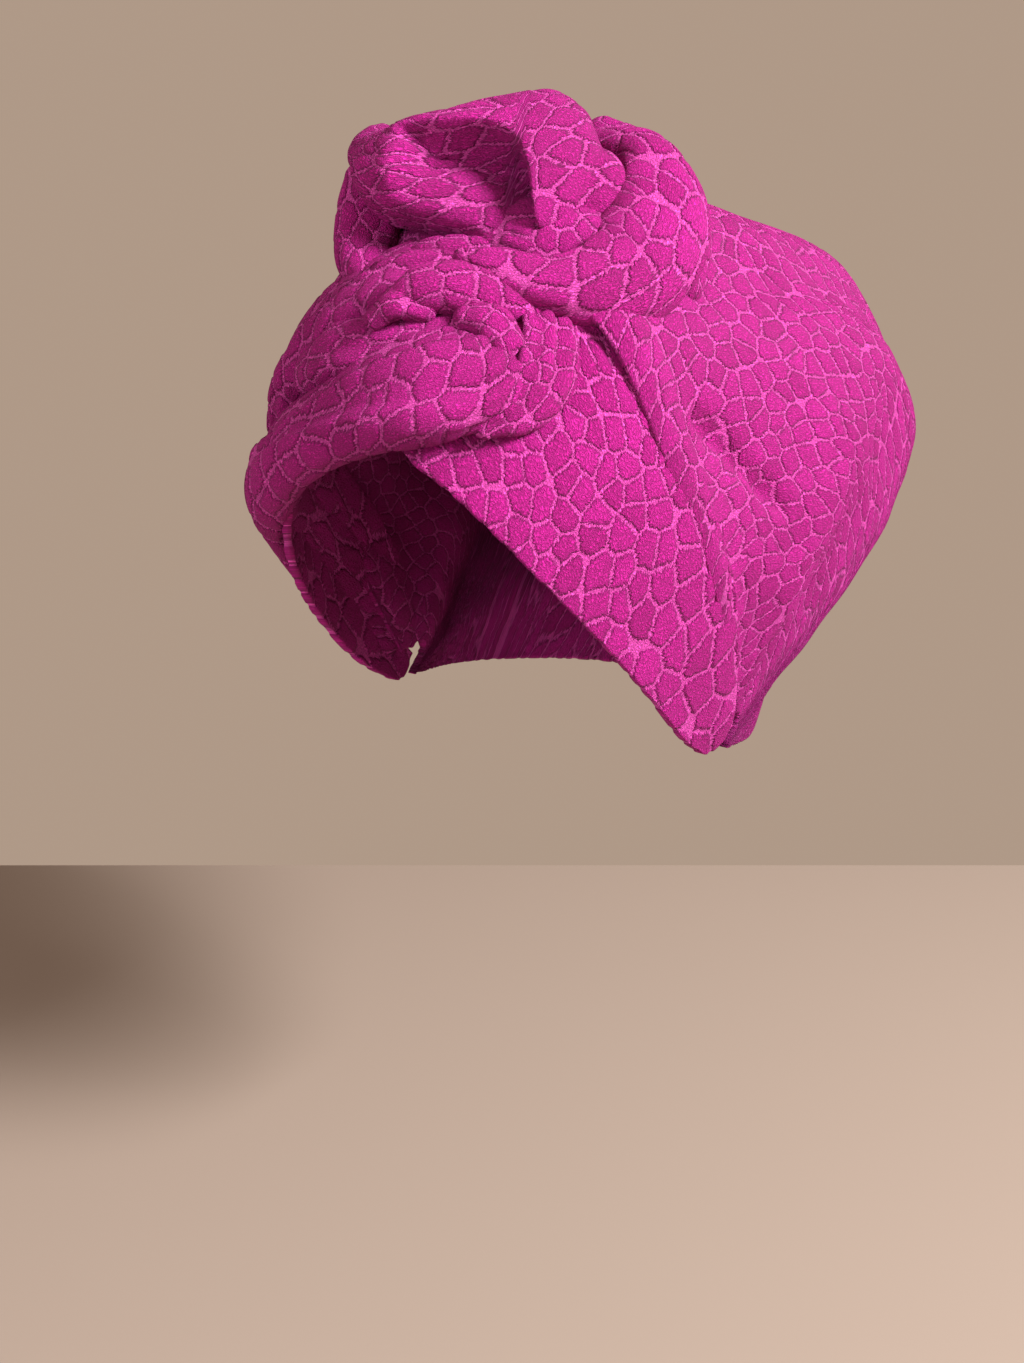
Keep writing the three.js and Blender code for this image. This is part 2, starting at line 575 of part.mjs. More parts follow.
function headSpace() {
  const points = [];
  const lowest = -EAR_DROP * 1.6;
  const top = HEAD_RISE * 0.9995;
  for (let level = 0; level <= HEAD_LEVELS; level += 1) {
    const share = level / HEAD_LEVELS;
    const height = mix(lowest, top, Math.sin((share * Math.PI) / 2));
    for (let side = 0; side < HEAD_SIDES; side += 1) {
      points.push(onHead((side / HEAD_SIDES) * 2 * Math.PI, height, CLEARANCE / 2));
    }
  }
  const index = (row, column) => row * HEAD_SIDES + column;
  const triangles = gridTriangles(HEAD_LEVELS + 1, HEAD_SIDES, true, index, false);
  points.push(new THREE.Vector3(0, 0, lowest), new THREE.Vector3(0, 0, HEAD_RISE + CLEARANCE));
  for (let side = 0; side < HEAD_SIDES; side += 1) {
    const next = (side + 1) % HEAD_SIDES;
    triangles.push([index(0, next), index(0, side), points.length - 2]);
    triangles.push([index(HEAD_LEVELS, side), index(HEAD_LEVELS, next), points.length - 1]);
  }
  return solidOf(geometryOf(points, triangles));
}

// The largest body of a solid, without the crumbs that a cut may leave
function mainBody(solid) {
  return solid.decompose().reduce((best, body) => (body.volume() > best.volume() ? body : best));
}

const turban = new THREE.Group();
const head = headSpace();
let taken = head;
for (const { name, colour, make } of PIECES) {
  const body = mainBody(make(0).subtract(taken));
  taken = taken.add(make(CLEARANCE));
  const { numProp, vertProperties, triVerts } = body.getMesh();
  const geometry = new THREE.BufferGeometry();
  const positions = new Float32Array((vertProperties.length / numProp) * 3);
  for (let vertex = 0; vertex < positions.length / 3; vertex += 1) {
    positions.set(vertProperties.subarray(vertex * numProp, vertex * numProp + 3), vertex * 3);
  }
  geometry.setAttribute("position", new THREE.BufferAttribute(positions, 3));
  geometry.setIndex(new THREE.BufferAttribute(triVerts, 1));
  geometry.computeVertexNormals();
  const material = new THREE.MeshStandardMaterial({ color: colour, roughness: 0.75, metalness: 0 });
  const mesh = new THREE.Mesh(geometry, material);
  mesh.name = name;
  turban.add(mesh);
}

export default turban;
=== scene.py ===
# %% [markdown]
# # A knotted turban in blister cloth
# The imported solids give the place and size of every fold. This lesson dresses them: each fold is made
# again as a fine mesh with a cloth pattern on it, and the pattern puffs the surface as the weave does.
# They could be sculpted by hand, but short tables can be changed and run again.

# %% Load the frame
import math

import bmesh
import bpy
import numpy as np
from mathutils import Matrix, Vector


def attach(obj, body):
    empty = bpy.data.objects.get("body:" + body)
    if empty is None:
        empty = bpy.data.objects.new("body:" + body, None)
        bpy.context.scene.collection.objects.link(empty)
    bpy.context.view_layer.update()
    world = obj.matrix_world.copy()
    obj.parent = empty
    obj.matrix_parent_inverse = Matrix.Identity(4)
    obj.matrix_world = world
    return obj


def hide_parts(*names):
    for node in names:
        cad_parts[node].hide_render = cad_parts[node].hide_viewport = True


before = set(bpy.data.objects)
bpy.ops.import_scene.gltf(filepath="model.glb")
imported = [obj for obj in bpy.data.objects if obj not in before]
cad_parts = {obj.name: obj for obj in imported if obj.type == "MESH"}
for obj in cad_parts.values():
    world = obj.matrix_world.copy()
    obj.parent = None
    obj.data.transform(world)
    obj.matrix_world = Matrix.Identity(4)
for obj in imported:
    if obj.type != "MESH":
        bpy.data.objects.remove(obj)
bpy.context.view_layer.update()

MM = 0.001
DEGREE = math.pi / 180
print("nodes in the frame:", len(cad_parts))

# %% [markdown]
# ## The camera
# The photograph shows the wrap from its front left and a little above, through a lens of normal angle.
# The camera could be placed by eye in the viewport. It is worked out here from an angle round, an angle
# down, a distance and the pixel where the origin lies, because each of them can be fitted by itself.

# %% Place the camera
LENS = 50.0
SENSOR = 36.0
IMAGE_SIZE = (1024, 1363)
ORIGIN_PIXEL = (540.0, 505.0)
TURN = 36.0 * DEGREE
TIP = 18.5 * DEGREE
DISTANCE = 690.0 * MM
NEAREST_SEEN = 0.01

TO_RIGHT = np.array([math.cos(TURN), math.sin(TURN), 0.0])
TO_CAMERA = np.array([math.sin(TURN), -math.cos(TURN), 0.0])
UP = np.array([0.0, 0.0, 1.0])
FORWARD = -TO_CAMERA * math.cos(TIP) - UP * math.sin(TIP)
CAMERA_UP = -TO_CAMERA * math.sin(TIP) + UP * math.cos(TIP)
PIXELS_PER_SLOPE = LENS / SENSOR * IMAGE_SIZE[1]

right_shift = (ORIGIN_PIXEL[0] - IMAGE_SIZE[0] / 2) / PIXELS_PER_SLOPE * DISTANCE
up_shift = (IMAGE_SIZE[1] / 2 - ORIGIN_PIXEL[1]) / PIXELS_PER_SLOPE * DISTANCE
camera_place = -(FORWARD * DISTANCE + TO_RIGHT * right_shift + CAMERA_UP * up_shift)

camera = bpy.data.objects.new("camera", bpy.data.cameras.new("camera"))
camera.data.lens = LENS
camera.data.sensor_width = SENSOR
camera.data.clip_start = NEAREST_SEEN
turned = Matrix((TO_RIGHT, CAMERA_UP, -FORWARD)).transposed().to_4x4()
camera.matrix_world = Matrix.Translation(Vector(camera_place)) @ turned
bpy.context.scene.collection.objects.link(camera)
bpy.context.scene.camera = camera
print("camera at", [round(float(x), 4) for x in camera_place])

# %% [markdown]
# ## Sizes
# These are the driving sizes of the solids, in millimetres. The tables further on hold shares of them,
# so a fold in this script lies where its solid lies. The wrap is wound round a rounded form, and the girth
# of that form sets the scale of all the rest.

# %% Name the sizes
HEAD_HALF_BREADTH = 82.0
HEAD_HALF_LENGTH = 99.0
HEAD_RISE = 97.0
EAR_DROP = 82.0
NAPE_TAPER = 0.16
CLOTH = 2.6
CLEARANCE = 0.3
ROLLED_EDGE = 3.2
CROWN_REACH = 200.0
CROWN_HALF_BREADTH = 104.0
HINGE_HALF_BREADTH = 74.0
HINGE_BACK = 12.0
VALLEY_DEPTH = 8.0
DIMPLE_DEPTH = 4.0
BAND_STAND_OFF = 6.0
BAND_END_SAG = 5.0
ROLL_WIDTH = 30.0
ROLL_THICKNESS = 22.0
POUCH_WIDTH = 50.0
POUCH_THICKNESS = 20.0
KNOT_SIDE = 16.0
KNOT_FORWARD = 34.0
KNOT_FOOT = 78.0
KNOT_RADIUS = 60.0
KNOT_RISE = 68.0
KNOT_CLOTH_WIDTH = 44.0

squares = HEAD_HALF_BREADTH**2 + HEAD_HALF_LENGTH**2
print("girth inside the wrap at the brow, mm:", round(math.pi * math.sqrt(2 * squares)))

# %% [markdown]
# ## Smooth readings of a table
# A fold of cloth changes its width little by little. A row for every millimetre would be unreadable, so
# a few rows are written down and a smooth curve is read between them.

# %% Read a column smoothly
def smooth_step(low, high, value):
    share = np.clip((value - low) / (high - low), 0.0, 1.0)
    return share * share * (3.0 - 2.0 * share)


def hump(value, centre, width):
    return np.exp(-(((value - centre) / width) ** 2))


def read_column(values, share):
    values = np.asarray(values, float)
    place = np.clip(share, 0.0, 1.0) * (len(values) - 1)
    row = np.minimum(np.floor(place).astype(int), len(values) - 2)
    local = place - row
    last = len(values) - 1
    before, start = values[np.clip(row - 1, 0, last)], values[row]
    end, after = values[row + 1], values[np.clip(row + 2, 0, last)]
    start_slope, end_slope = (end - before) / 2, (after - start) / 2
    square, cube = local**2, local**3
    return (
        (2 * cube - 3 * square + 1) * start
        + (cube - 2 * square + local) * start_slope
        + (3 * square - 2 * cube) * end
        + (cube - square) * end_slope
    )


def table(columns, rows):
    names = columns.split()
    return [dict(zip(names, row)) for row in rows]


print("a quarter down the column 0, 1, 4:", round(float(read_column([0, 1, 4], 0.25)), 3))

# %% [markdown]
# ## A smooth line through points
# The middle of a fold is a line in space. A Bezier curve would do, but its handles would have to be set
# one by one. This line goes through the table's points by itself.

# %% Run a line through points
SHORTEST_STEP = 1e-4


def read_line(points, share):
    points = np.asarray(points, float)
    ends = [2 * points[0] - points[1]], [2 * points[-1] - points[-2]]
    padded = np.concatenate([ends[0], points, ends[1]])
    place = np.clip(share, 0.0, 1.0) * (len(points) - 1)
    row = np.minimum(np.floor(place).astype(int), len(points) - 2)
    local = (place - row)[:, None]
    p0, p1, p2, p3 = (padded[row + step] for step in range(4))
    step = lambda a, b: np.maximum(np.sqrt(np.linalg.norm(b - a, axis=1)), SHORTEST_STEP)[:, None]
    d0, d1, d2 = step(p0, p1), step(p1, p2), step(p2, p3)
    start = ((p1 - p0) / d0 - (p2 - p0) / (d0 + d1) + (p2 - p1) / d1) * d1
    end = ((p2 - p1) / d1 - (p3 - p1) / (d1 + d2) + (p3 - p2) / d2) * d1
    return (
        p1
        + start * local
        + (-3 * p1 + 3 * p2 - 2 * start - end) * local**2
        + (2 * p1 - 2 * p2 + start + end) * local**3
    )


def unit(vectors):
    return vectors / np.maximum(np.linalg.norm(vectors, axis=-1, keepdims=True), 1e-9)


corner = [(0, 0, 0), (10, 0, 0), (10, 10, 0)]
print("a quarter along a corner of 10 mm:", read_line(corner, np.array([0.25])).round(2).tolist())

# %% [markdown]
# ## A little noise
# Cloth is never quite even. A random generator would give other wrinkles as soon as a line is added
# before it. This noise is worked out from whole numbers, so every run gives the same wrinkles.

# %% Make repeatable noise
def hashed(x, y, seed):
    mixed = (x.astype(np.int64) * 374761393 + y.astype(np.int64) * 668265263 + seed * 362437) & 0x7FFFFFFF
    mixed = ((mixed ^ (mixed >> 13)) * 1274126177) & 0x7FFFFFFF
    return ((mixed ^ (mixed >> 16)) & 0xFFFF) / 65535.0


def soft_noise(x, y, seed):
    x0, y0 = np.floor(x), np.floor(y)
    fx, fy = x - x0, y - y0
    fx, fy = fx * fx * (3 - 2 * fx), fy * fy * (3 - 2 * fy)
    near = hashed(x0, y0, seed) * (1 - fx) + hashed(x0 + 1, y0, seed) * fx
    far = hashed(x0, y0 + 1, seed) * (1 - fx) + hashed(x0 + 1, y0 + 1, seed) * fx
    return (near * (1 - fy) + far * fy) * 2 - 1


print("noise at three places:", soft_noise(np.array([0.5, 1.5, 2.5]), np.zeros(3), 1).round(2).tolist())

# %% [markdown]
# ## The form inside the wrap
# The wrap is wound round a rounded form, broadest at the brow and narrower towards the top and the nape.
# Places given as an angle round that form and a height keep lying on it when its size changes, which
# plain coordinates wouldn't.

# %% Place points round the form
DOME_POWER = 2.2


def head_scale(height):
    above = np.sqrt(np.maximum(0.0, 1 - np.abs(height / HEAD_RISE) ** DOME_POWER))
    return np.where(height >= 0, above, 1 - NAPE_TAPER * (height / EAR_DROP) ** 2)


def away_from_head(points):
    gradient = np.stack(
        [
            points[..., 0] / HEAD_HALF_BREADTH**2,
            points[..., 1] / HEAD_HALF_LENGTH**2,
            np.maximum(points[..., 2], 0) / HEAD_RISE**2,
        ],
        axis=-1,
    )
    return unit(gradient)


def on_head(angle, height, stand_off):
    scale = head_scale(height)
    points = np.stack(
        [HEAD_HALF_BREADTH * scale * np.sin(angle), -HEAD_HALF_LENGTH * scale * np.cos(angle), height],
        axis=-1,
    )
    return points + away_from_head(points) * stand_off[..., None]


half_breadths = HEAD_HALF_BREADTH * head_scale(np.array([0.0, -EAR_DROP]))
print("half breadth at the brow and at the hem, mm:", half_breadths.round(1).tolist())

# %% [markdown]
# ## From shares to millimetres
# The rows of a fold are shares: of the form's sizes round the brow, and of the knot's sizes in the knot.
# They become millimetres in one place, so that a changed size reaches every fold.

# %% Turn rows of shares into millimetres
def head_rows(rows, width, thickness):
    return [
        (
            row["side"] * HEAD_HALF_BREADTH,
            row["back"] * HEAD_HALF_LENGTH,
            row["up"] * (EAR_DROP if row["up"] < 0 else HEAD_RISE),
            row["wide"] * width / 2,
            row["thick"] * thickness / 2,
        )
        for row in rows
    ]


def knot_rows(rows):
    return [
        (
            KNOT_SIDE + row["side"] * KNOT_RADIUS,
            -KNOT_FORWARD + row["back"] * KNOT_RADIUS,
            KNOT_FOOT + row["up"] * KNOT_RISE,
            row["wide"] * KNOT_CLOTH_WIDTH / 2,
            row["thick"] * KNOT_CLOTH_WIDTH / 2,
        )
        for row in rows
    ]


COLUMNS = "side back up wide thick"
print("the knot's middle, mm:", knot_rows(table(COLUMNS, [(0, 0, 0.5, 1, 1)]))[0][:3])

# %% [markdown]
# ## From a grid of points to a cloth mesh
# Each mesh carries two maps. One counts the pattern's cells, so that a Voronoi texture of scale one draws
# them at the size they have on that piece, and the other counts millimetres, for the threads. Unwrapping
# by hand would stretch them. A third value says how much the cloth swells at a point.


def cloth_mesh(name, points, faces, cells, threads, swell=None):
    mesh = bpy.data.meshes.new(name)
    mesh.from_pydata((points * MM).tolist(), [], faces.tolist())
    for title, values in (("cells", cells), ("threads", threads)):
        layer = mesh.uv_layers.new(name=title)
        layer.data.foreach_set("uv", values.reshape(-1).astype(np.float32))
    layer = mesh.attributes.new("swell", "FLOAT", "POINT")
    layer.data.foreach_set("value", np.ones(len(points)) if swell is None else swell)
    mesh.polygons.foreach_set("use_smooth", [True] * len(mesh.polygons))
    mesh.update()
    piece = bpy.data.objects.new(name, mesh)
    bpy.context.scene.collection.objects.link(piece)
    return piece


def ring_faces(rings, sides):
    ring, side = np.meshgrid(np.arange(rings - 1), np.arange(sides), indexing="ij")
    ring, side = ring.ravel(), side.ravel()
    across = (side + 1) % sides
    corners = [
        (ring, side, side),
        (ring, across, side + 1),
        (ring + 1, across, side + 1),
        (ring + 1, side, side),
    ]
    faces = np.stack([r * sides + s for r, s, _ in corners], axis=1)
    maps = np.stack([np.stack([r, m], axis=-1) for r, _, m in corners], axis=1)
    return faces, maps


print("faces round 3 rings of 8 sides:", len(ring_faces(3, 8)[0]))

# %% [markdown]
# ## Cells on the cloth
# The weave has puffed cells with flat, paler veins between them, like a reptile's hide. They could be
# painted as an image, but a Voronoi texture has no edge where it repeats and keeps sharp close up. The
# same nodes serve the geometry and the material, so that the puffs sit in the cells.

# %% Describe the cells once for both node trees
CELL_RANDOMNESS = 0.72
VEIN = 0.054
CELL_ROUNDNESS = 0.76
CORNER_ROUNDING = 0.06


def add_node(tree, kind, **settings):
    node = tree.nodes.new(kind)
    for key, value in settings.items():
        setattr(node, key, value)
    return node


def math_node(tree, operation, first, second=None, third=None):
    node = add_node(tree, "ShaderNodeMath", operation=operation)
    for socket, value in zip(node.inputs, (first, second, third)):
        if value is None:
            continue
        if isinstance(value, (int, float)):
            socket.default_value = value
        else:
            tree.links.new(value, socket)
    return node.outputs[0]


def ease(tree, value, low, high):
    node = add_node(tree, "ShaderNodeMapRange", interpolation_type="SMOOTHSTEP")
    tree.links.new(value, node.inputs["Value"])
    node.inputs["From Min"].default_value = low
    node.inputs["From Max"].default_value = high
    return node.outputs["Result"]


def cell_nodes(tree, place):
    """How far inside its cell a place lies, and the Voronoi node that knows the cell's middle"""
    edge = add_node(tree, "ShaderNodeTexVoronoi", voronoi_dimensions="2D", feature="DISTANCE_TO_EDGE")
    middle = add_node(tree, "ShaderNodeTexVoronoi", voronoi_dimensions="2D", feature="F1")
    for node in (edge, middle):
        node.inputs["Scale"].default_value = 1.0
        node.inputs["Randomness"].default_value = CELL_RANDOMNESS
        tree.links.new(place, node.inputs["Vector"])
    rounded = math_node(tree, "SUBTRACT", CELL_ROUNDNESS, middle.outputs["Distance"])
    inside = add_node(tree, "ShaderNodeMath", operation="SMOOTH_MIN")
    tree.links.new(edge.outputs["Distance"], inside.inputs[0])
    tree.links.new(rounded, inside.inputs[1])
    inside.inputs[2].default_value = CORNER_ROUNDING
    return inside.outputs[0], middle


print("a vein takes about this share of a cell's width:", 2 * VEIN)

# %% [markdown]
# ## Puffed cells
# In blister cloth the back threads shrink, so that the front swells between the veins. A bump map would
# only shade that swelling. Geometry Nodes move the points themselves, so it also shows in the outline.
# Each puff is then kept as a plain mesh, with no modifier left on it.

# %% Puff the cells with Geometry Nodes
PUFF = 0.5
PUFF_FOOT = VEIN * 0.4
PUFF_TOP = 0.15


def named_attribute(tree, name, kind):
    node = add_node(tree, "GeometryNodeInputNamedAttribute", data_type=kind)
    node.inputs["Name"].default_value = name
    return node.outputs["Attribute"]


def puff_tree():
    tree = bpy.data.node_groups.new("puffed_cells", "GeometryNodeTree")
    tree.interface.new_socket("Cloth", in_out="INPUT", socket_type="NodeSocketGeometry")
    tree.interface.new_socket("Height", in_out="INPUT", socket_type="NodeSocketFloat")
    tree.interface.new_socket("Cloth", in_out="OUTPUT", socket_type="NodeSocketGeometry")
    entry = tree.nodes.new("NodeGroupInput")
    result = tree.nodes.new("NodeGroupOutput")
    inside, _ = cell_nodes(tree, named_attribute(tree, "cells", "FLOAT_VECTOR"))
    height = math_node(tree, "MULTIPLY", ease(tree, inside, PUFF_FOOT, PUFF_TOP), entry.outputs["Height"])
    height = math_node(tree, "MULTIPLY", height, named_attribute(tree, "swell", "FLOAT"))
    normal = tree.nodes.new("GeometryNodeInputNormal")
    offset = add_node(tree, "ShaderNodeVectorMath", operation="SCALE")
    tree.links.new(normal.outputs["Normal"], offset.inputs[0])
    tree.links.new(height, offset.inputs["Scale"])
    move = tree.nodes.new("GeometryNodeSetPosition")
    tree.links.new(entry.outputs["Cloth"], move.inputs["Geometry"])
    tree.links.new(offset.outputs["Vector"], move.inputs["Offset"])
    tree.links.new(move.outputs["Geometry"], result.inputs["Cloth"])
    return tree


PUFFED_CELLS = puff_tree()


def puff(piece):
    modifier = piece.modifiers.new("puffed_cells", "NODES")
    modifier.node_group = PUFFED_CELLS
    modifier["Socket_1"] = PUFF * MM
    bpy.context.view_layer.update()
    shape = bpy.data.meshes.new_from_object(piece.evaluated_get(bpy.context.evaluated_depsgraph_get()))
    piece.modifiers.clear()
    piece.data = shape
    shape.name = piece.name


print("the puffing takes", len(PUFFED_CELLS.nodes), "nodes and lifts cells by", PUFF, "mm")

# %% [markdown]
# ## Nodes for the finish
# Small helpers keep the material readable. The last one draws strokes that run out from each cell's
# middle, for the threads that fray where a cell ends. They could be hairs, but a noise that follows the
# angle round the cell costs far less.

# %% Make helpers for the finish
COMB_STROKES = 44
STROKE_LENGTH = 1.5


def stretched(tree, place, size):
    node = add_node(tree, "ShaderNodeVectorMath", operation="MULTIPLY")
    node.inputs[1].default_value = (1.0 / size[0], 1.0 / size[1], 1.0)
    tree.links.new(place, node.inputs[0])
    return node.outputs["Vector"]


def noise_node(tree, place, size, detail, roughness=0.5, distortion=0.0):
    node = add_node(tree, "ShaderNodeTexNoise", noise_dimensions="2D")
    node.inputs["Scale"].default_value = 1.0
    node.inputs["Detail"].default_value = detail
    node.inputs["Roughness"].default_value = roughness
    node.inputs["Distortion"].default_value = distortion
    tree.links.new(stretched(tree, place, size), node.inputs["Vector"])
    return node.outputs["Fac"]


def mix_colours(tree, factor, first, second):
    node = add_node(tree, "ShaderNodeMix", data_type="RGBA")
    for name, value in (("Factor", factor), ("A", first), ("B", second)):
        socket = next(x for x in node.inputs if x.name == name and x.enabled)
        if isinstance(value, bpy.types.NodeSocket):
            tree.links.new(value, socket)
        else:
            socket.default_value = value
    return next(x for x in node.outputs if x.enabled)


def comb_strokes(tree, place, middle):
    """Fine strokes that run out from each cell's middle"""
    offset = add_node(tree, "ShaderNodeVectorMath", operation="SUBTRACT")
    tree.links.new(place, offset.inputs[0])
    tree.links.new(middle.outputs["Position"], offset.inputs[1])
    split = tree.nodes.new("ShaderNodeSeparateXYZ")
    tree.links.new(offset.outputs["Vector"], split.inputs[0])
    turn = math_node(tree, "ARCTAN2", split.outputs["Y"], split.outputs["X"])
    round_cell = math_node(tree, "MULTIPLY", turn, COMB_STROKES / (2 * math.pi))
    outwards = math_node(tree, "MULTIPLY", middle.outputs["Distance"], STROKE_LENGTH)
    stroke = add_node(tree, "ShaderNodeCombineXYZ")
    tree.links.new(round_cell, stroke.inputs["X"])
    tree.links.new(outwards, stroke.inputs["Y"])
    return noise_node(tree, stroke.outputs["Vector"], (1.0, 1.0), 1.0)


print("strokes round a cell:", COMB_STROKES)

# %% [markdown]
# ## The cloth's finish
# The cloth is magenta, deeper on the puffs and brighter on the veins. A thin band of painted shade darkens
# each puff just inside its vein and stands in for the shadow in the groove there. A fine crepe grain breaks
# up the puffs. It is made of nodes rather than images, so that it stays sharp close up. The cloth is matt,
# with hardly any sheen.

# %% Colour the cells
PUFF_COLOUR = (0.40, 0.009, 0.21, 1.0)
PUFF_COLOUR_DEEP = (0.31, 0.005, 0.155, 1.0)
VEIN_COLOUR = (0.55, 0.05, 0.33, 1.0)
VEIN_EDGE = (VEIN * 0.7, VEIN * 1.2)
# Where the band of painted shade starts and ends inside a puff's edge, for the groove's shadow
PAINTED_SHADE_START = (VEIN * 0.8, VEIN * 1.4)
PAINTED_SHADE_END = (VEIN * 1.5, VEIN * 3.0)
STROKE_SWING = 0.2
FRAY_SIZE = 2.6
FRAY_SWING = 0.1
GRAIN_SHADE = (0.66, 1.24)
# How much the painted shade darkens that band
PAINTED_GROOVE_SHADE = 0.38


def frayed_cells(tree, cells, threads):
    """How far inside its cell a place lies once its edge is frayed, and the cell's Voronoi node"""
    inside, middle = cell_nodes(tree, cells)
    combed = comb_strokes(tree, cells, middle)
    strokes = math_node(tree, "MULTIPLY_ADD", combed, STROKE_SWING, -STROKE_SWING / 2)
    torn = noise_node(tree, threads, (FRAY_SIZE, FRAY_SIZE), 1.0)
    frays = math_node(tree, "MULTIPLY_ADD", torn, FRAY_SWING, -FRAY_SWING / 2)
    return math_node(tree, "ADD", inside, math_node(tree, "ADD", strokes, frays)), middle


def cloth_colour(tree, inside, middle, grain):
    puffed = ease(tree, inside, *VEIN_EDGE)
    # Painted shade: a thin dark band just inside each puff's edge stands in for the groove's shadow
    painted_shade_band = math_node(tree, "SUBTRACT", ease(tree, inside, *PAINTED_SHADE_START), ease(tree, inside, *PAINTED_SHADE_END))
    split = tree.nodes.new("ShaderNodeSeparateColor")
    tree.links.new(middle.outputs["Color"], split.inputs[0])
    puffs = mix_colours(tree, split.outputs[0], PUFF_COLOUR_DEEP, PUFF_COLOUR)
    low, high = GRAIN_SHADE
    shade = math_node(tree, "MULTIPLY_ADD", grain, high - low, low)
    painted_shade_factor = math_node(tree, "MULTIPLY_ADD", painted_shade_band, -PAINTED_GROOVE_SHADE, 1.0)
    tinted = add_node(tree, "ShaderNodeVectorMath", operation="SCALE")
    tree.links.new(mix_colours(tree, puffed, VEIN_COLOUR, puffs), tinted.inputs[0])
    tree.links.new(math_node(tree, "MULTIPLY", shade, painted_shade_factor), tinted.inputs["Scale"])
    return tinted.outputs["Vector"]


print("frays swing a vein by", round((STROKE_SWING + FRAY_SWING) / 2, 2), "of a cell")

# %% [markdown]
# ## One material for every piece
# The whole turban is one cloth, so its pieces share one material. The puffs and the grain also go to a
# bump node. Displacement would need a far finer mesh for relief as small as this.

# %% Put the material together
SHEEN_COLOUR = (1.0, 0.5, 0.8, 1.0)
GRAIN_SIZE = 0.85
GRAIN_FLATNESS = 0.6
PUFF_SLOPE = (VEIN * 0.8, VEIN * 2.2)
PUFF_RELIEF = 0.6
GRAIN_RELIEF = 0.42
RELIEF_DEPTH = 1.5 * MM


def blister_cloth():
    material = bpy.data.materials.new("blister_cloth")
    material.use_nodes = True
    tree = material.node_tree
    shader = tree.nodes["Principled BSDF"]
    cells = add_node(tree, "ShaderNodeUVMap", uv_map="cells").outputs["UV"]
    threads = add_node(tree, "ShaderNodeUVMap", uv_map="threads").outputs["UV"]
    inside, middle = frayed_cells(tree, cells, threads)
    grain = noise_node(tree, threads, (GRAIN_SIZE, GRAIN_SIZE * GRAIN_FLATNESS), 2.0, 0.65, 0.6)
    grain = ease(tree, grain, 0.3, 0.7)
    tree.links.new(cloth_colour(tree, inside, middle, grain), shader.inputs["Base Color"])
    raised = math_node(tree, "MULTIPLY", ease(tree, inside, *PUFF_SLOPE), PUFF_RELIEF)
    bump = tree.nodes.new("ShaderNodeBump")
    bump.inputs["Strength"].default_value = 1.0
    bump.inputs["Distance"].default_value = RELIEF_DEPTH
    tree.links.new(math_node(tree, "MULTIPLY_ADD", grain, GRAIN_RELIEF, raised), bump.inputs["Height"])
    tree.links.new(bump.outputs["Normal"], shader.inputs["Normal"])
    shader.inputs["Roughness"].default_value = 0.8
    shader.inputs["Specular IOR Level"].default_value = 0.12
    shader.inputs["Sheen Weight"].default_value = 0.04
    shader.inputs["Sheen Roughness"].default_value = 0.5
    shader.inputs["Sheen Tint"].default_value = SHEEN_COLOUR
    return material


CLOTH_FINISH = blister_cloth()
print("the finish takes", len(CLOTH_FINISH.node_tree.nodes), "nodes")

# %% [markdown]
# ## Dress a piece
# They could be written out each time, but one function misses no step.

# %% Dress a piece
def dress(piece, node):
    puff(piece)
    piece.data.materials.clear()
    piece.data.materials.append(CLOTH_FINISH)
    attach(piece, "root")
    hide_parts(node)
    print(piece.name, "has", len(piece.data.polygons), "faces")


# %% [markdown]
# ## Laps in a fold
# Where wound cloth lies over itself, a lip runs along the fold with a crease behind it. Each layer could
# be a thin wall. A lap is lighter: it pushes the section in behind its lip and may tuck the surface
# under it a little, so that the crease keeps its shadow.

# %% Shape a lap
LAP_DROP = 9.0
LAP_HOLD = 0.3
LAP_FADE_IN = 0.2
LAP_FADE_OUT = 0.88
TUCK_END = 0.6


def lap_shape(lap, angle, share):
    """(how deep the lap pushes in, how far it tucks under its lip) at the angles of a fold's sections"""
    run = np.clip((share - lap["start"]) / (lap["end"] - lap["start"]), 0, 1)
    lip = lap["lip_start"] + (lap["lip_end"] - lap["lip_start"]) * run ** lap.get("bend", 1.0)
    past = (angle / DEGREE - lip) % 360
    wide = np.maximum(lap["far"] - lip, 2 * LAP_DROP) if "far" in lap else lap["wide"]
    drop = smooth_step(0, LAP_DROP, past)
    rise = smooth_step(LAP_HOLD, 1, past / wide)
    fade = smooth_step(0, LAP_FADE_IN, run) * (1 - smooth_step(LAP_FADE_OUT, 1, run))
    tuck = lap.get("under", 0) * DEGREE * drop * (1 - smooth_step(0, TUCK_END, past / wide)) * fade
    return lap["depth"] * drop * (1 - rise) * fade, tuck


trial = {"lip_start": 0, "lip_end": 0, "wide": 60, "depth": 0.5, "start": 0, "end": 1}
print("half way across, a lap goes in by", round(float(lap_shape(trial, 30 * DEGREE, 0.5)[0]), 2))

# %% [markdown]
# ## Cells along a fold
# The cells are stretched on some folds and gathered small on others, which one scale wouldn't show. They
# are counted along the fold at a size that changes from its start to its end, and a slow drift keeps
# their rows from looking ruled.

# %% Map cells and threads on a fold
DRIFT = 0.22
DRIFT_SIZE = 27
MAP_SHIFT = 17.37


def way_round(points):
    """Millimetres round each section, counted from the middle of its outward side"""
    looped = np.concatenate([points, points[:, :1]], axis=1)
    steps = np.linalg.norm(np.diff(looped, axis=1, prepend=looped[:, :1]), axis=-1)
    around = np.cumsum(steps, axis=1)
    return around - around[:, points.shape[1] // 2][:, None]


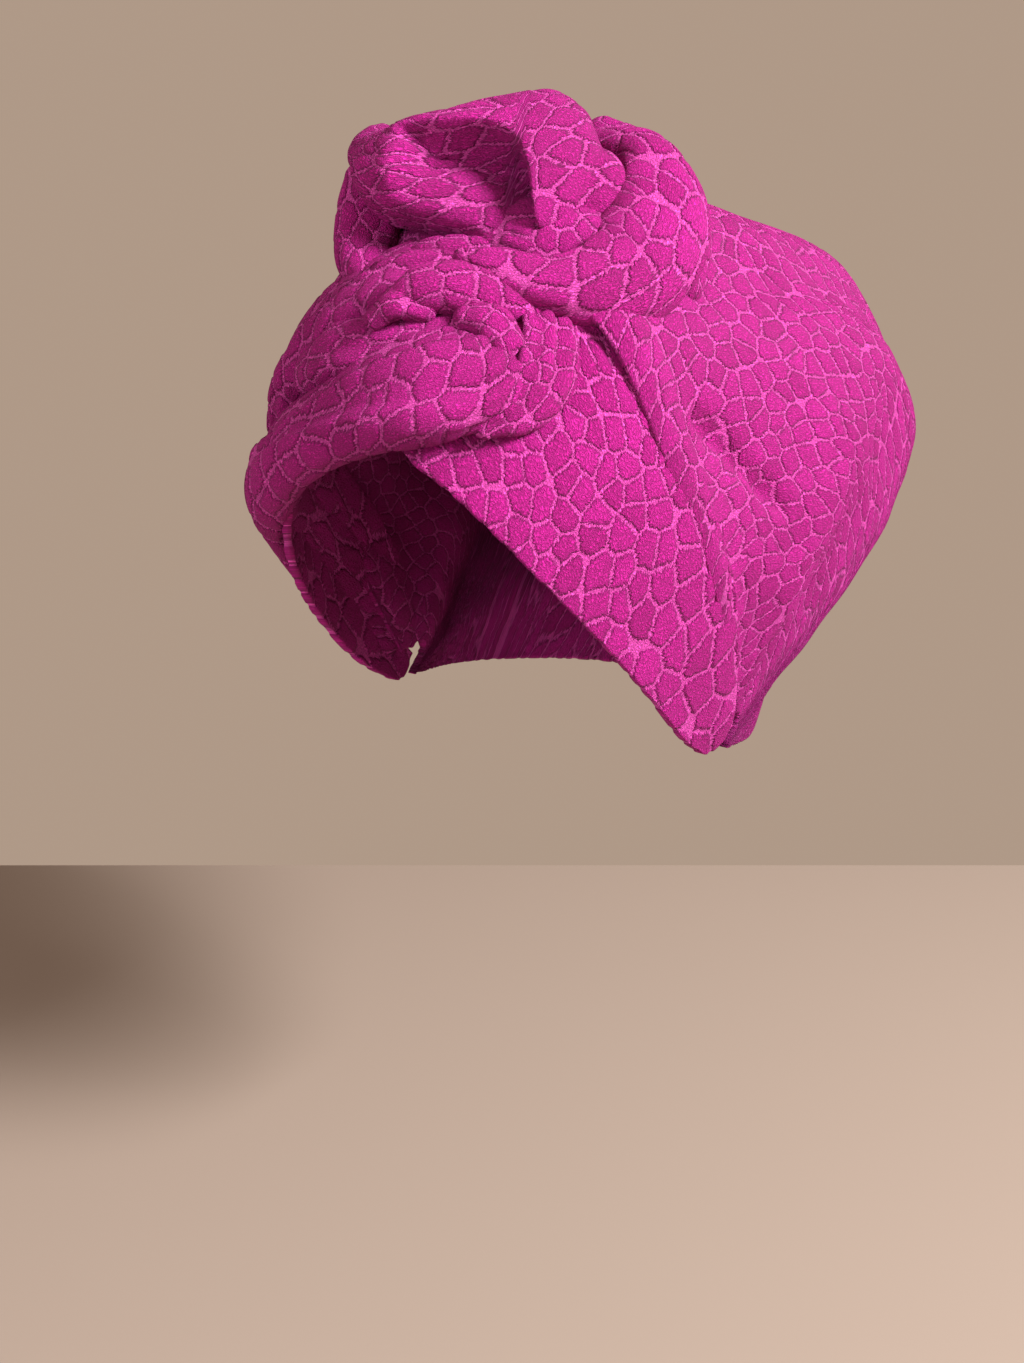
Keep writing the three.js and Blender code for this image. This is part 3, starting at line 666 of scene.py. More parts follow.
def pattern_maps(run, around, share, cells, seed, slant):
    """The two maps of a fold: cells counted at sizes that change along it, and millimetres for the threads"""
    (run_start, way_start), (run_end, way_end) = cells
    size_along = run_start + (run_end - run_start) * share
    size_round = way_start + (way_end - way_start) * share
    counted = np.concatenate([[0], np.cumsum(np.diff(run) / (size_along[1:] + size_along[:-1]) * 2)])
    across = around / size_round[:, None]
    along = counted[:, None] + slant * across
    drift = DRIFT * soft_noise(run[:, None] / DRIFT_SIZE, around / DRIFT_SIZE, seed + 40)
    sway = DRIFT * soft_noise(run[:, None] / DRIFT_SIZE, around / DRIFT_SIZE, seed + 60)
    grid = np.broadcast_arrays(along + drift, across + sway)
    threads = np.broadcast_arrays(run[:, None], around)
    return np.stack(grid, axis=-1) + seed * MAP_SHIFT, np.stack(threads, axis=-1)


print("cells drift by up to", DRIFT, "of their size over", DRIFT_SIZE, "mm")

# %% [markdown]
# ## The line and the sections of a fold
# A curve with a bevel could sweep a fold, but here each section has its own width, thickness and outward
# side. So the rings are worked out one by one, with a few leaning ones that round off each end.

# %% Place the sections of a fold
MESH_STEP = 1.2
CAP_RINGS = 9
CAP_LEAN = 88
LEAST_RINGS = 12
LOOK_AHEAD = 1e-3
GIRTH_SHARE = 0.95


def fold_sizes(rows):
    """The length of a fold's line and the girth that sets its number of sides, in millimetres"""
    steps = np.diff(read_line(rows[:, :3], np.linspace(0, 1, 200)), axis=0)
    girth = 2 * math.pi * np.sqrt((rows[:, 3] ** 2 + rows[:, 4] ** 2) / 2).max() * GIRTH_SHARE
    return np.linalg.norm(steps, axis=1).sum(), girth


def ring_places(length):
    """Shares along a fold, the lean of its rounded ends, and which end each ring belongs to"""
    rings = max(int(length / MESH_STEP), LEAST_RINGS)
    cap = np.linspace(CAP_LEAN, 0, CAP_RINGS, endpoint=False) * DEGREE
    share = np.concatenate([np.zeros(CAP_RINGS), np.linspace(0, 1, rings), np.ones(CAP_RINGS)])
    lean = np.concatenate([cap, np.zeros(rings), cap[::-1]])
    end = np.concatenate([-np.ones(CAP_RINGS), np.zeros(rings), np.ones(CAP_RINGS)])
    return share, lean, end


def fold_frame(line, share, facing):
    """The middle of each section and its directions along the fold, outwards and across"""
    centre = read_line(line, share)
    along = unit(read_line(line, share + LOOK_AHEAD) - read_line(line, share - LOOK_AHEAD))
    out = away_from_head(centre) if facing is None else np.tile(np.asarray(facing, float), (len(share), 1))
    out = unit(out - (out * along).sum(1, keepdims=True) * along)
    return centre, along, out, np.cross(out, along)


print("rings on a fold of 100 mm:", len(ring_places(100)[0]))

# %% [markdown]
# ## Wrinkles, pleats and closed ends
# Wound cloth has shallow wrinkles along the fold and pleats where it is tucked in. They could be sculpted,
# but a formula lifts the surface the same way on every fold. Both ends are closed, because a padded fold
# is one closed body.

# %% Lift the surface and close the ends
WRINKLE = (34, 11)
CREASE = (15, 6)
PLEAT_SHARPNESS = 0.8
PLEAT_MEAN = 0.6


def fold_lift(run, way, angle, share, length, body, gathers, wrinkle, seed):
    """How far wrinkles and gathered pleats stand off a fold's smooth surface"""
    ripple = soft_noise(run[:, None] / WRINKLE[0] + seed * 7.1, way[None, :] / WRINKLE[1] + 3.3, seed)
    ripple += 0.5 * soft_noise(run[:, None] / CREASE[0], way[None, :] / CREASE[1], seed + 5)
    lift = wrinkle * ripple * body
    for gather in gathers:
        away = np.abs(share - gather["at"]) * length
        waves = np.abs(np.sin(angle * gather["count"] / 2 + 1.1 * ripple))
        pleats = waves**PLEAT_SHARPNESS - PLEAT_MEAN
        lift = lift + gather["height"] * pleats * np.exp(-((away / gather["length"]) ** 2))[:, None] * body
    return lift


def close_ends(piece, sides):
    shape = bmesh.new()
    shape.from_mesh(piece.data)
    open_edges = [edge for edge in shape.edges if edge.is_boundary]
    bmesh.ops.holes_fill(shape, edges=open_edges, sides=sides + 1)
    shape.to_mesh(piece.data)
    shape.free()
    piece.data.polygons.foreach_set("use_smooth", [True] * len(piece.data.polygons))


print("wrinkles are", WRINKLE[0], "mm long and", WRINKLE[1], "mm wide")

# %% [markdown]
# ## A whole fold
# Most of the turban is rolls and folds, filled with their own layers. A cloth simulation could settle them.
# Sections with laps are quicker to match to the photograph, and they stay where the solid is.

# %% Sweep a fold
FOLD_SQUARE = 2.3
LEAST_HALF = 0.6
LEAST_SIDES = 24
END_SWELL = 0.2
END_LENGTH = 8


def rounded(value):
    return np.sign(value) * np.abs(value) ** (2 / FOLD_SQUARE)


def fold(name, rows, cells, facing=None, laps=(), gathers=(), wrinkle=0.7, seed=1, slant=0.0):
    rows = np.asarray(rows, float)
    length, girth = fold_sizes(rows)
    sides = max(int(girth / MESH_STEP), LEAST_SIDES)
    share, lean, end = ring_places(length)
    centre, along, out, across = fold_frame(rows[:, :3], share, facing)
    half_width = np.maximum(read_column(rows[:, 3], share), LEAST_HALF)
    half_thick = np.maximum(read_column(rows[:, 4], share), LEAST_HALF)
    centre = centre + along * (end * np.sin(lean) * np.minimum(half_width, half_thick))[:, None]
    angle = np.linspace(-90, 270, sides, endpoint=False)[None, :] * DEGREE + np.zeros((len(share), 1))
    reach = np.cos(lean)[:, None] * np.ones(sides)
    shown = angle.copy()
    for lap in laps:
        depth, tuck = lap_shape(lap, angle, share[:, None])
        reach = reach * (1 - depth)
        shown = shown - tuck
    points = (
        centre[:, None, :]
        + across[:, None, :] * (half_width[:, None] * reach * rounded(np.cos(shown)))[..., None]
        + out[:, None, :] * (half_thick[:, None] * reach * rounded(np.sin(shown)))[..., None]
    )
    run = share * length + end * np.sin(lean) * half_thick
    way = np.linspace(0, girth, sides, endpoint=False)
    body = np.cos(lean)[:, None] ** 2
    lift = fold_lift(run, way, angle, share, length, body, gathers, wrinkle, seed)
    points = points + unit(points - centre[:, None, :]) * lift[..., None]
    faces, maps = ring_faces(len(share), sides)
    cell_map, thread_map = pattern_maps(run, way_round(points), share, cells, seed, slant)
    picked = maps[..., 0], maps[..., 1]
    from_end = np.minimum(share, 1 - share) * length
    swelling = END_SWELL + (1 - END_SWELL) * smooth_step(0, END_LENGTH, from_end)
    swell = np.repeat(np.cos(lean) ** 2 * swelling, sides)
    piece = cloth_mesh(name, points.reshape(-1, 3), faces, cell_map[picked], thread_map[picked], swell)
    close_ends(piece, sides)
    return piece


# %% [markdown]
# ## The crown's shape
# The crown is one big hood of cloth over the top and the back. Its arches run from side to side and fan
# out from the rolled front edge to the nape, and a long soft valley runs back over each side. A sphere
# could be pulled into that shape, but the fan of arches follows the way the cloth is really laid.

# %% Shape the crown's arches
CROWN_ARCHES = table(
    "angle reach half square",
    [
        (-26, 0.92, 0.85, 3.0),
        (-12, 0.97, 0.88, 2.9),
        (6, 0.98, 0.93, 2.8),
        (22, 0.98, 1.0, 3.0),
        (38, 1.03, 1.04, 3.0),
        (52, 0.98, 1.08, 2.7),
        (61, 0.7, 0.87, 2.3),
        (69, 0.51, 0.74, 2.2),
        (81, 0.44, 0.72, 2.1),
        (94, 0.395, 0.69, 2.1),
    ],
)
CROWN_END_ANGLE = 1.0
END_CROWDING = 1.5
FLARE_FRONT = 0.48
FLARE_BACK = 0.95
TOP_STRAIGHTENING = 0.22
VALLEY_PLACE = (0.66, 0.11)
VALLEY_ON_SIDE = 0.6
DIMPLE_ANGLE = (-10, 9)
DIMPLE_PLACE = (0.6, 0.1)
EDGE_PLACE = (0.035, 0.03)
print("the fan of arches opens by, degrees:", CROWN_ARCHES[-1]["angle"] - CROWN_ARCHES[0]["angle"])

# %% [markdown]
# ## The crown's surface
# Each arch leaves a narrow hinge at the foot, flares out to its full breadth and goes over the top. The
# valley, the dimple and the rolled edge are taken off or added on the way. Sculpting could do that too,
# but then the solid and this surface would no longer agree.

# %% Fan out the crown
def crown_points(fan_share, arch_share):
    read = lambda name: read_column([row[name] for row in CROWN_ARCHES], fan_share)
    from_ear = np.minimum(arch_share, 1 - arch_share)
    quarter = CROWN_END_ANGLE + (90 - CROWN_END_ANGLE) * (2 * from_ear) ** END_CROWDING
    turn = np.where(arch_share < 0.5, 180 - quarter, quarter) * DEGREE
    power = 2 / read("square")
    up_share = np.sin(turn) ** power
    side_share = np.sign(np.cos(turn)) * np.abs(np.cos(turn)) ** power
    away = np.abs(side_share)
    angle = read("angle")
    straighten = 1 - TOP_STRAIGHTENING * smooth_step(0.6, 1, up_share) * smooth_step(0, -20, angle)
    fan_angle = angle * straighten * DEGREE
    along = smooth_step(-24, 0, angle) * (1 - smooth_step(40, 58, angle))
    valley = VALLEY_DEPTH * along * hump(away, *VALLEY_PLACE)
    dimple = DIMPLE_DEPTH * hump(angle, *DIMPLE_ANGLE) * hump(up_share, *DIMPLE_PLACE)
    edge = ROLLED_EDGE * hump(fan_share, *EDGE_PLACE) * smooth_step(0.1, 0.5, up_share)
    reach = CROWN_REACH * read("reach") * up_share - (valley - edge) * up_share
    flared_at = FLARE_FRONT + (FLARE_BACK - FLARE_FRONT) * smooth_step(10, 46, angle)
    spread = smooth_step(0, flared_at, up_share)
    flare = CROWN_HALF_BREADTH * read("half") * side_share
    hinge = np.sign(side_share) * HINGE_HALF_BREADTH * np.minimum(1, away * 1.02)
    side = hinge * (1 - spread) + flare * spread
    side = side + (edge - valley * VALLEY_ON_SIDE - dimple) * side_share
    back = HINGE_BACK + reach * np.sin(fan_angle)
    return np.stack([side, back, -EAR_DROP + reach * np.cos(fan_angle)], axis=-1)


CROWN_FAN_STEPS = 190
CROWN_ARCH_STEPS = 230
fan, arch = np.meshgrid(
    np.linspace(0, 1, CROWN_FAN_STEPS + 1), np.linspace(0, 1, CROWN_ARCH_STEPS + 1), indexing="ij"
)
crown_grid = crown_points(fan, arch)
print("the crown spans, mm:", np.ptp(crown_grid.reshape(-1, 3), axis=0).round(1).tolist())

# %% [markdown]
# ## A wall of cloth
# The crown and the side bands are single layers, so they are walls: an outer and an inner grid of points,
# joined along the four edges. A solidify modifier would do it too, but two grids let both faces of a band
# follow the form.

# %% Close a wall of cloth
def grid_normals(grid):
    along_rows = np.gradient(grid, axis=0)
    along_columns = np.gradient(grid, axis=1)
    return unit(np.cross(along_columns, along_rows))


def rim_points(rows, columns):
    rim = (
        [(0, c) for c in range(columns - 1)]
        + [(r, columns - 1) for r in range(rows - 1)]
        + [(rows - 1, c) for c in range(columns - 1, 0, -1)]
        + [(r, 0) for r in range(rows - 1, 0, -1)]
    )
    return np.array([r * columns + c for r, c in rim])


def cloth_wall(name, outer, inner, cells, threads):
    rows, columns = outer.shape[:2]
    points = np.concatenate([outer.reshape(-1, 3), inner.reshape(-1, 3)])
    row, column = np.meshgrid(np.arange(rows - 1), np.arange(columns - 1), indexing="ij")
    row, column = row.ravel(), column.ravel()
    corners = [(row, column), (row, column + 1), (row + 1, column + 1), (row + 1, column)]
    front = np.stack([r * columns + c for r, c in corners], axis=1)
    total = rows * columns
    back = front[:, ::-1] + total
    rim = rim_points(rows, columns)
    after = np.roll(rim, -1)
    edges = np.stack([rim, rim + total, after + total, after], axis=1)
    faces = np.concatenate([front, back, edges])
    cell_map = np.concatenate([cells.reshape(-1, 2)] * 2)[faces]
    thread_map = np.concatenate([threads.reshape(-1, 2)] * 2)[faces]
    return cloth_mesh(name, points, faces, cell_map, thread_map)


def runs_of(grid):
    """Millimetres down and across a grid of points, from its first row and its first column"""
    down = np.cumsum(np.linalg.norm(np.diff(grid, axis=0, prepend=grid[:1]), axis=-1), axis=0)
    side = np.cumsum(np.linalg.norm(np.diff(grid, axis=1, prepend=grid[:, :1]), axis=-1), axis=1)
    return down, side


def flat_size(outer, down_run, side_run):
    """The width, length and area in metres that a wall of cloth has when it is laid flat"""
    width = float(np.ptp(side_run, axis=1).max()) * MM
    length = float(np.ptp(down_run, axis=0).max()) * MM
    first, second = outer[1:, 1:] - outer[:-1, :-1], outer[1:, :-1] - outer[:-1, 1:]
    area = float(np.linalg.norm(np.cross(first, second), axis=-1).sum() / 2) * MM**2
    print("flat width, length and area:", round(width, 3), round(length, 3), round(area, 4))
    return (width, length), min(area, width * length)


print("points on the rim of a wall of 3 by 4 points:", len(rim_points(3, 4)))

# %% [markdown]
# ## The crown's pattern
# The crown's cells are a little longer front to back than side to side. They could be projected from
# above, but counted along the surface they keep their size where the hood bulges.

# %% Map the crown
CROWN_CELL = 8.6
CROWN_CELL_STRETCH = (1.15, 0.95)
CROWN_SWAY = 0.4
CROWN_SWAY_SIZE = 24

fan_run, arch_run = runs_of(crown_grid)
arch_run -= arch_run[:, arch_run.shape[1] // 2][:, None]
crown_threads = np.stack([fan_run, arch_run], axis=-1)
crown_sway = [
    CROWN_SWAY * soft_noise(fan_run / CROWN_SWAY_SIZE, arch_run / CROWN_SWAY_SIZE, seed)
    for seed in (21, 22)
]
crown_cell_size = (CROWN_CELL * CROWN_CELL_STRETCH[0], CROWN_CELL * CROWN_CELL_STRETCH[1])
crown_cells = crown_threads / crown_cell_size + np.stack(crown_sway, axis=-1)
print("cells down the crown:", round(float(np.ptp(crown_cells[..., 0])), 1))

# %% [markdown]
# ## The crown
# A short dent with small puckers runs down the crown's left side. It could be a fold of its own, but it has
# no edge, so the surface is only pushed in along a line. The crown hangs over the pouch and the knot's core.

# %% Dent the crown and close it
DENT_LINE = ((77.0, -20.0, 44.0), (91.0, 14.0, 10.0))
DENT_DEPTH = 4.5
DENT_WIDTH = 4.0
PUCKER_HEIGHT = 2.0
PUCKER_WIDTH = 3 * DENT_WIDTH
CROWN_WRINKLE = 1.2

crown_normals = grid_normals(crown_grid)
dent_start, dent_end = (np.array(place) for place in DENT_LINE)
dent_way = dent_end - dent_start
along_dent = np.clip(((crown_grid - dent_start) @ dent_way) / (dent_way @ dent_way), 0, 1)
from_dent = np.linalg.norm(crown_grid - dent_start - along_dent[..., None] * dent_way, axis=-1)
dent = DENT_DEPTH * np.exp(-((from_dent / DENT_WIDTH) ** 2))
puckers = PUCKER_HEIGHT * np.exp(-((from_dent / PUCKER_WIDTH) ** 2))
puckers = puckers * soft_noise(along_dent * 6, from_dent / 30, 8)
wrinkles = soft_noise(crown_grid[..., 0] / 30, (crown_grid[..., 1] + crown_grid[..., 2]) / 21, 3)
crown_lift = CROWN_WRINKLE * wrinkles - dent + puckers
crown_outer = crown_grid + crown_normals * crown_lift[..., None]
crown_inner = crown_outer - crown_normals * CLOTH
crown = cloth_wall("crown_cloth", crown_outer, crown_inner, crown_cells, crown_threads)
dress(crown, "crown_wrap")

crown_flat, crown_area = flat_size(crown_outer, fan_run, arch_run)

# %% [markdown]
# ## The side bands
# A flat band runs from under the knot down over each side. It lies close at its hem and is tented where it
# goes under the crown's front edge. It is pulled tight. The cells are small by the knot, where the cloth is
# gathered, and grow towards the foot. They are counted on a plane laid through the band, because the band's
# own grid fans out and would slant them.

# %% Lay out a side band
BAND_LINES = table(
    "hem_angle hem_up crease_angle crease_up",
    [
        (22, 0.84, 56, 0.88),
        (14, 0.64, 62, 0.76),
        (8, 0.41, 67, 0.57),
        (23, 0.24, 71, 0.39),
        (36, 0.05, 76, 0.18),
        (46, -0.15, 80, 0.0),
        (56, -0.37, 85, -0.2),
        (65, -0.57, 88, -0.42),
        (74, -0.76, 92, -0.62),
        (81, -0.88, 96, -0.78),
        (87, -0.95, 99, -0.9),
    ],
)
BAND_CELL = (6.6, 12.0)
BAND_CELL_CHANGE = (-150, -20)
BAND_CELL_LENGTH = 0.8
BAND_COUNT = (-260, 60)
BAND_SWAY = 0.2
BAND_SWAY_SIZE = 25
BAND_STEPS = 170
BAND_COLUMNS = 60


def band_cell_size(down):
    return BAND_CELL[0] + (BAND_CELL[1] - BAND_CELL[0]) * smooth_step(*BAND_CELL_CHANGE, down)


def band_cells(threads):
    """Cells counted down and across a band at a size that changes on the way"""
    down, side = threads[..., 0], threads[..., 1]
    steps = np.arange(BAND_COUNT[0], BAND_COUNT[1] + 1.0)
    counted = np.interp(down, steps, np.cumsum(1 / band_cell_size(steps)))
    sway = BAND_SWAY * soft_noise(down / BAND_SWAY_SIZE, side / BAND_SWAY_SIZE, 31)
    return np.stack([counted * BAND_CELL_LENGTH + sway, side / band_cell_size(down) + sway], axis=-1)


def band_walls():
    """The outer and inner grid of the left band, from under the knot down and from the hem inwards"""
    share, across = np.meshgrid(
        np.linspace(0, 1, BAND_STEPS + 1), np.linspace(0, 1, BAND_COLUMNS + 1), indexing="ij"
    )
    read = lambda column: read_column([row[column] for row in BAND_LINES], share)
    angle = (read("hem_angle") * (1 - across) + read("crease_angle") * across) * DEGREE
    up = read("hem_up") * (1 - across) + read("crease_up") * across
    sag = BAND_END_SAG * smooth_step(0.8, 1, share) * (1 - (2 * across - 1) ** 2)
    height = up * np.where(up < 0, EAR_DROP, HEAD_RISE) - sag
    lift = CLEARANCE + BAND_STAND_OFF * smooth_step(0.15, 1, across) * (1 - 0.7 * share)
    return on_head(angle, height, lift + CLOTH), on_head(angle, height, lift)


print("band cells grow from", BAND_CELL[0], "to", BAND_CELL[1], "mm")

# %% [markdown]
# ## Both bands
# The right band is hidden in the photograph, so it is the left one mirrored. A mirror modifier would make
# both one piece, and each band has to be a piece of its own.

# %% Make the side bands
def side_band(name, node, mirror):
    outer, inner = band_walls()
    down = unit(outer[-1, -1] - outer[len(outer) // 3, -1])
    facing = unit(np.cross(down, outer[len(outer) // 2, 0] - outer[len(outer) // 2, -1]))
    sideways = np.cross(facing, down)
    threads = np.stack([(outer - outer[-1, -1]) @ down, (outer - outer[-1, -1]) @ sideways], axis=-1)
    cells = band_cells(threads)
    if mirror:
        outer, inner = outer * [-1, 1, 1], inner * [-1, 1, 1]
    else:
        outer, inner, cells, threads = (grid[:, ::-1] for grid in (outer, inner, cells, threads))
    band = cloth_wall(name, outer, inner, cells, threads)
    dress(band, node)
    flat, area = flat_size(outer, *runs_of(outer))


side_band("side_band_left_cloth", "side_band_left", False)
side_band("side_band_right_cloth", "side_band_right", True)

# %% [markdown]
# ## The brow roll
# A thick roll crosses the brow and goes down on the right. Its cells are large and run aslant, as the cloth
# was twisted when it was rolled. Laps give it the crease along its face and the lip over the pouch, and
# pleats fan out where it is tucked into the knot.

# %% Wind the brow roll
BROW_ROLL = table(
    COLUMNS,
    [
        (0.43, -0.69, 0.68, 0.6, 0.7),
        (0.4, -0.81, 0.63, 1.05, 0.92),
        (0.26, -0.92, 0.6, 1.22, 1.02),
        (0.06, -0.98, 0.54, 1.08, 1.0),
        (-0.16, -0.99, 0.45, 0.94, 0.95),
        (-0.43, -0.94, 0.33, 0.94, 0.9),
        (-0.7, -0.79, 0.17, 1.05, 0.85),
        (-0.93, -0.54, 0.0, 1.15, 0.7),
        (-1.03, -0.24, -0.32, 1.2, 0.5),
        (-1.0, -0.02, -0.62, 0.95, 0.4),
        (-0.93, 0.04, -0.84, 0.6, 0.3),
    ],
)
ROLL_LAPS = [
    {"lip_start": 36, "lip_end": 84, "wide": 60, "depth": 0.24, "start": 0.02, "end": 0.56},
    {"lip_start": 118, "lip_end": 98, "wide": 70, "depth": 0.3, "under": 10, "start": 0.05, "end": 0.85},
]
ROLL_GATHERS = [{"at": 0.0, "count": 11, "height": 2.6, "length": 30}]
ROLL_CELLS = ((11, 10), (15, 13))

roll = fold(
    "brow_roll_cloth",
    head_rows(BROW_ROLL, ROLL_WIDTH, ROLL_THICKNESS),
    ROLL_CELLS,
    laps=ROLL_LAPS,
    gathers=ROLL_GATHERS,
    seed=2,
    slant=0.4,
)
dress(roll, "brow_roll")

# %% [markdown]
# ## The pouch
# Over the roll the cloth puffs out into a pouch and then follows the roll down the right side. It is looser
# than the roll, so its wrinkles are higher and its laps deeper. The last lap sinks its lower face, so that
# the roll stands proud of it along their seam.

# %% Puff out the pouch
BROW_POUCH = table(
    COLUMNS,
    [
        (0.2, -0.52, 0.86, 0.5, 0.8),
        (-0.1, -0.64, 0.87, 0.8, 1.0),
        (-0.36, -0.7, 0.76, 1.0, 1.1),
        (-0.58, -0.69, 0.6, 1.0, 1.1),
        (-0.78, -0.6, 0.41, 0.9, 1.0),
        (-0.97, -0.4, 0.16, 0.75, 0.7),
        (-1.05, -0.15, -0.16, 0.65, 0.5),
        (-1.02, 0.08, -0.52, 0.55, 0.36),
    ],
)
POUCH_LAPS = [
    {"lip_start": 95, "lip_end": 60, "wide": 76, "depth": 0.34, "under": 10, "start": 0.08, "end": 0.66},
    {"lip_start": 146, "lip_end": 120, "wide": 60, "depth": 0.4, "under": 14, "start": 0.1, "end": 0.66},
    {"lip_start": -20, "lip_end": -30, "wide": 130, "depth": 0.42, "start": 0.1, "end": 1.1},
]
POUCH_GATHERS = [{"at": 0.02, "count": 9, "height": 3.0, "length": 34}]
POUCH_CELLS = ((10, 9), (15, 12))

pouch = fold(
    "brow_pouch_cloth",
    head_rows(BROW_POUCH, POUCH_WIDTH, POUCH_THICKNESS),
    POUCH_CELLS,
    laps=POUCH_LAPS,
    gathers=POUCH_GATHERS,
    wrinkle=1.6,
    seed=3,
    slant=0.2,
)
dress(pouch, "brow_pouch")

# %% [markdown]
# ## The brow fold
# A wedge-shaped fold lies between the roll and the pouch and closes the gap towards the knot. Only its
# front shows, so one shallow lap is enough for it.

# %% Lay the brow fold
BROW_FOLD = table(
    COLUMNS,
    [
        (-0.42, -0.84, 0.58, 0.6, 0.5),
        (-0.22, -0.87, 0.66, 0.75, 0.66),
        (0.03, -0.84, 0.7, 0.7, 0.66),
        (0.26, -0.76, 0.74, 0.5, 0.55),
    ],
)
WEDGE_LAPS = [{"lip_start": 80, "lip_end": 110, "wide": 60, "depth": 0.16, "start": 0.1, "end": 0.95}]
WEDGE_CELLS = ((12, 9), (9, 7))

wedge_rows = head_rows(BROW_FOLD, ROLL_WIDTH, ROLL_THICKNESS)
dress(fold("brow_fold_cloth", wedge_rows, WEDGE_CELLS, laps=WEDGE_LAPS, seed=4), "brow_fold")

# %% [markdown]
# ## The small tucks
# Where the left band goes into the knot, the cloth is gathered in small pleats and rolls. They are short
# folds like the others. The pleated one has three deep laps side by side, which is simpler than three
# separate folds that would have to be kept from crossing.

# %% Tuck the small folds
TUCK_PLEAT = table(
    COLUMNS,
    [
        (0.46, -0.55, 0.79, 0.68, 0.5),
        (0.55, -0.64, 0.7, 0.76, 0.55),
        (0.58, -0.71, 0.62, 0.8, 0.5),
        (0.54, -0.79, 0.54, 0.66, 0.4),
        (0.47, -0.87, 0.48, 0.3, 0.3),
    ],
)
TUCK_EDGE = table(
    COLUMNS, [(0.3, -0.76, 0.8, 0.3, 0.4), (0.4, -0.74, 0.78, 0.4, 0.45), (0.48, -0.74, 0.72, 0.35, 0.4)]
)
TUCK_ROLL = table(
    COLUMNS, [(-0.02, -0.9, 0.79, 0.25, 0.3), (0.07, -0.87, 0.84, 0.32, 0.35), (0.16, -0.82, 0.82, 0.25, 0.3)]
)
PLEAT_LAPS = [
    {"lip_start": 40, "lip_end": 60, "wide": 40, "depth": 0.34, "start": -0.2, "end": 1.1},
    {"lip_start": 82, "lip_end": 88, "wide": 38, "depth": 0.34, "start": -0.2, "end": 1.1},
    {"lip_start": 124, "lip_end": 116, "wide": 40, "depth": 0.3, "start": -0.2, "end": 1.1},
]
TUCK_CELLS = ((7, 6), (7, 6))
TUCKS = [
    ("tuck_pleat", TUCK_PLEAT, PLEAT_LAPS, 5),
    ("tuck_edge", TUCK_EDGE, (), 6),
    ("tuck_roll", TUCK_ROLL, (), 7),
]
for node, rows, laps, seed in TUCKS:
    rows = head_rows(rows, ROLL_WIDTH, ROLL_THICKNESS)
    dress(fold(node + "_cloth", rows, TUCK_CELLS, laps=laps, seed=seed, wrinkle=0.6), node)

# %% [markdown]
# ## The knot's upper fold
# The knot is a rosette of fat folds round a twisted core. Its upper fold is a big loop with an open mouth.
# The mouth could be cut out, but in cloth it is a lip that bends away, so one deep lap with a bent lip
# makes it.

# %% Wind the upper fold
TOWARDS_FRONT_LEFT = (0.5, -0.72, 0.48)
UPWARDS = (0.0, 0.0, 1.0)
UPPER_LAPS = [
    {
        "lip_start": 58,
        "lip_end": 158,
        "bend": 2.4,
        "far": 172,
        "depth": 0.8,
        "under": 24,
        "start": 0.24,
        "end": 0.8,
    }
]
KNOT_UPPER_FOLD = table(
    COLUMNS,
    [
        (-0.88, -0.13, 0.66, 0.48, 0.5),
        (-0.69, -0.2, 0.6, 0.73, 0.7),
        (-0.45, -0.18, 0.6, 0.86, 0.84),
        (-0.18, -0.02, 0.59, 1.16, 0.95),
        (0.02, 0.12, 0.56, 1.36, 1.0),
        (0.18, 0.2, 0.54, 1.12, 0.85),
        (0.3, 0.26, 0.52, 0.62, 0.5),
    ],
)


def knot_fold(node, rows, facing, cells, seed, laps=(), slant=0.0):
    piece = fold(node + "_cloth", knot_rows(rows), cells, facing=facing, laps=laps, slant=slant, seed=seed)
    dress(piece, node)


knot_fold(
    "knot_upper_fold", KNOT_UPPER_FOLD, TOWARDS_FRONT_LEFT, ((5, 5), (13, 12)), 10, laps=UPPER_LAPS, slant=0.5
)

# %% [markdown]
# ## The swirl
# The swirl comes from behind, wraps round the knot's left side and runs out to a point in front. Its cells
# grow as the cloth is pulled tighter, and one shallow lap shows the layer that it lies on.

# %% Wind the swirl
SWIRL_LAPS = [{"lip_start": 150, "lip_end": 120, "wide": 60, "depth": 0.2, "start": 0.45, "end": 1.1}]
KNOT_SWIRL = table(
    COLUMNS,
    [
        (0.1, 0.62, 0.69, 0.3, 0.4),
        (0.37, 0.62, 0.64, 0.42, 0.5),
        (0.54, 0.51, 0.48, 0.66, 0.59),
        (0.63, 0.33, 0.3, 0.82, 0.64),
        (0.61, 0.13, 0.16, 0.8, 0.64),
        (0.51, -0.1, 0.11, 0.66, 0.55),
        (0.36, -0.3, 0.13, 0.44, 0.42),
        (0.18, -0.45, 0.2, 0.34, 0.32),
        (0.01, -0.55, 0.25, 0.14, 0.18),
    ],
)
knot_fold(
    "knot_swirl", KNOT_SWIRL, TOWARDS_FRONT_LEFT, ((8, 8), (13, 11)), 11, laps=SWIRL_LAPS, slant=0.2
)

# %% [markdown]
# ## The knot's outer ring
# Behind the swirl a narrow strip of cloth shows, and the ring is closed at the back by a fold that the
# photograph hides. A last fold drops from the upper fold's left lobe to the pouch. All three are plain
# rolls, because little or nothing of them is seen.

